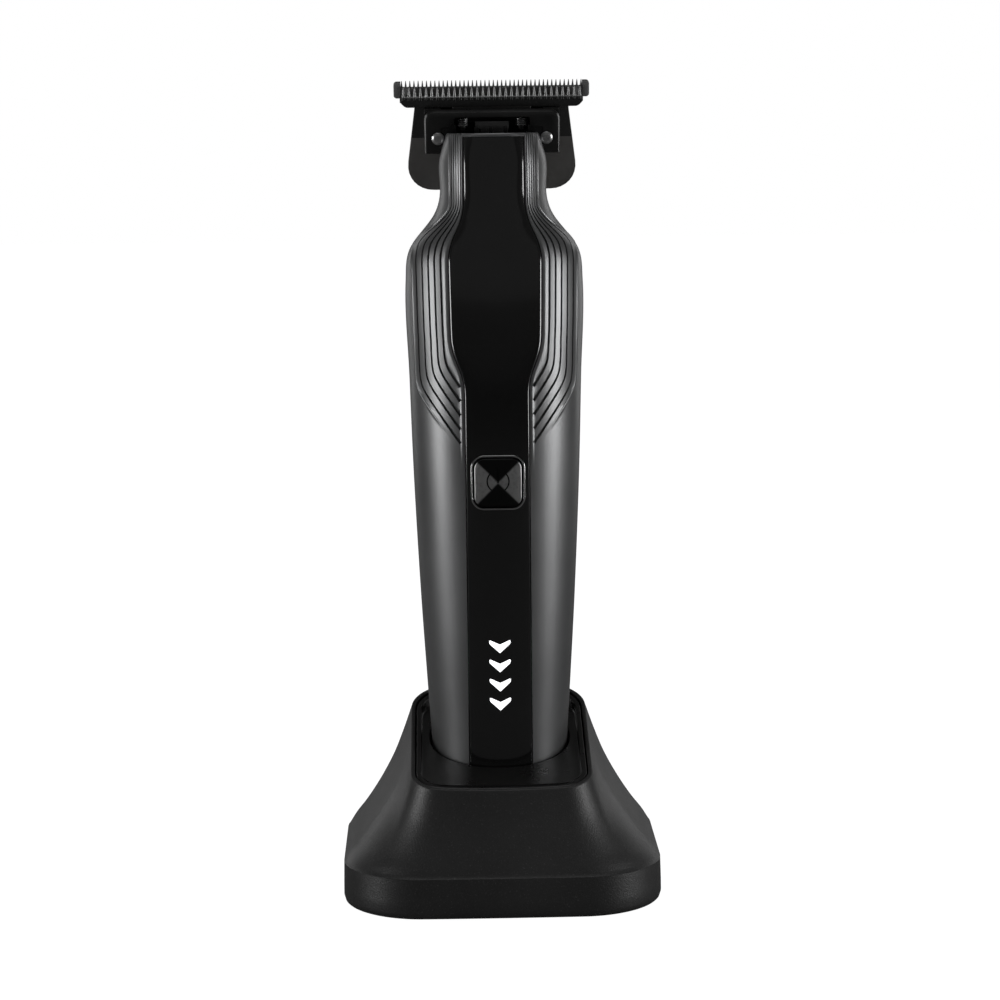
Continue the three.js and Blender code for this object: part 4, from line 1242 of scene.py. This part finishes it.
def makeBase():
    # a plate with sunk screw holes, sunk feet and a block of grooves in its underside
    b = base

    def outline(inset):
        return dockLoop(dock["foot"], b["inset"] + inset)

    cover = objectFrom(roundedSlab(outline, b["low"], b["high"], 0.35), "base_cover")
    half, narrow = b["barHalf"]
    bars = [block((-half, half), (y - narrow, y + narrow), (0.2, b["barTop"])) for y in b["bars"]]
    carve(cover, discHoles(b["holes"], b["holeRadius"], b["holeTop"], 32),
          discHoles(b["feet"], b["footRadius"] + b["footGap"], b["footTop"], 40), together(*bars))
    finishPiece(cover, "base_cover", "nylon_dark", "dock", "dock_base_plate")
    for i, (x, y) in enumerate(b["feet"]):
        foot = objectFrom(padDisc(b["footRadius"], 0, b["footHigh"] + b["footSink"], 0.15, x, y), "foot")
        carve(foot, loft([flatRing(circleLoop(r, 36, x, y), z) for r, z in b["footGroove"]], True))
        finishPiece(foot, f"rubber_foot_{i + 1}", "rubber_black", "dock", f"dock_foot_{i + 1}")
    for i, (x, y) in enumerate(b["holes"]):
        placeScrew(f"dock_screw_{i + 1}", "screw_steel", "dock", (x, y, dockScrew["head"]), (0, 0, -1),
                   dockScrew)


# A sprung pin's (radius, height) points, up to its round tip.
pinProfile = [(0.8, 9.3), (0.8, 17.2), (0.72, 17.45), (0.5, 17.63), (0.2, 17.7)]


def makePins():
    for label, x in contactSides:
        pin = shifted(turned(pinProfile, 28), (x, contact["y"], 0))
        finishPiece(pin, f"charge_pin_{label}", "contact_gold", f"pin_{label}", f"pogo_pin_{label}")


makeDockShell()
makeDockLiner()
makeBase()
makePins()
print("dock ready")

# What stays as the frame draws it gets its finish here.
for part in frame["record"]["subparts"]:
    node = frame["nodes"][part["node"]]
    node.data.materials.clear()
    node.data.materials.append(materials[part["material_slot"]])

view = {
    "distance": 0.6, "height": 0.17, "down": 8.05, "around": -1.2, "roll": 0.68, "lens": 100.5,
    "sensor": 36, "aside": 0.0007, "aim": (0, 0, 0.09),
}


def makeCamera():
    camera = bpy.data.objects.new("camera", bpy.data.cameras.new("camera"))
    scene.collection.objects.link(camera)
    camera.data.lens = view["lens"]
    camera.data.sensor_width = view["sensor"]
    around = math.radians(view["around"])
    camera.location = (math.sin(around) * view["distance"] + view["aside"],
                       -math.cos(around) * view["distance"], view["height"])
    turn = Matrix.Rotation(around, 3, "Z") @ Matrix.Rotation(math.radians(90 - view["down"]), 3, "X")
    camera.rotation_euler = (turn @ Matrix.Rotation(math.radians(-view["roll"]), 3, "Z")).to_euler()
    scene.camera = camera


def makeLight(name, power, size, at):
    lamp = bpy.data.lights.new(name, "AREA")
    lamp.energy, lamp.shape = power, "RECTANGLE"
    lamp.size, lamp.size_y = size
    obj = bpy.data.objects.new(name, lamp)
    scene.collection.objects.link(obj)
    obj.location = at
    obj.rotation_euler = (Vector(view["aim"]) - Vector(at)).to_track_quat("-Z", "Y").to_euler()


def seenOnly(tree, seen, unseen):
    # one value for what the camera sees directly and another for what lights the object
    ray = addNode(tree, "ShaderNodeLightPath").outputs["Is Camera Ray"]
    return remap(tree, ray, unseen, seen)


# Power in watts, size and place in metres. The floor is in millimetres, as pieces are.
studio = {
    "fill": 0.05, "floorSeen": 1.0, "floorHalf": 3000, "floorTone": 0.25,
    "lamps": (
        ("softbox_left", 4.2, (0.26, 0.45), (-0.78, -0.24, 0.05)),
        ("softbox_right", 4.6, (0.26, 0.45), (0.78, -0.24, 0.05)),
        ("edge_left", 0.6, (0.2, 0.7), (-0.5, 0.65, 0.2)),
        ("edge_right", 0.6, (0.2, 0.7), (0.5, 0.65, 0.2)),
        ("overhead", 1.2, (0.7, 0.5), (0, -0.1, 0.95)),
        ("front_glow", 0.7, (3.2, 0.8), (0, -1.5, 0.62)),
    ),
}


def makeFloor():
    floor = bmesh.new()
    bmesh.ops.create_grid(floor, x_segments=1, y_segments=1, size=studio["floorHalf"])
    ground = objectFrom(floor, "floor")
    ground.data.transform(Matrix.Scale(mm, 4))
    material = bpy.data.materials.new("pale_floor")
    material.use_nodes = True
    tree = material.node_tree
    shader = tree.nodes["Principled BSDF"]
    for socket, value in (("Base Color", grey(studio["floorTone"])), ("Roughness", 0.9),
                          ("Specular IOR Level", 0.1), ("Emission Color", grey(1))):
        shader.inputs[socket].default_value = value
    tree.links.new(seenOnly(tree, studio["floorSeen"], 0), shader.inputs["Emission Strength"])
    ground.data.materials.append(material)


def makeWorld():
    world = bpy.data.worlds.new("studio")
    scene.world = world
    world.use_nodes = True
    tree = world.node_tree
    background = tree.nodes["Background"]
    tree.links.new(seenOnly(tree, 1, studio["fill"]), background.inputs["Strength"])
    background.inputs["Color"].default_value = grey(1)
    scene.view_settings.view_transform = "Standard"


makeCamera()
makeFloor()
for lamp in studio["lamps"]:
    makeLight(*lamp)
makeWorld()
print("studio ready")
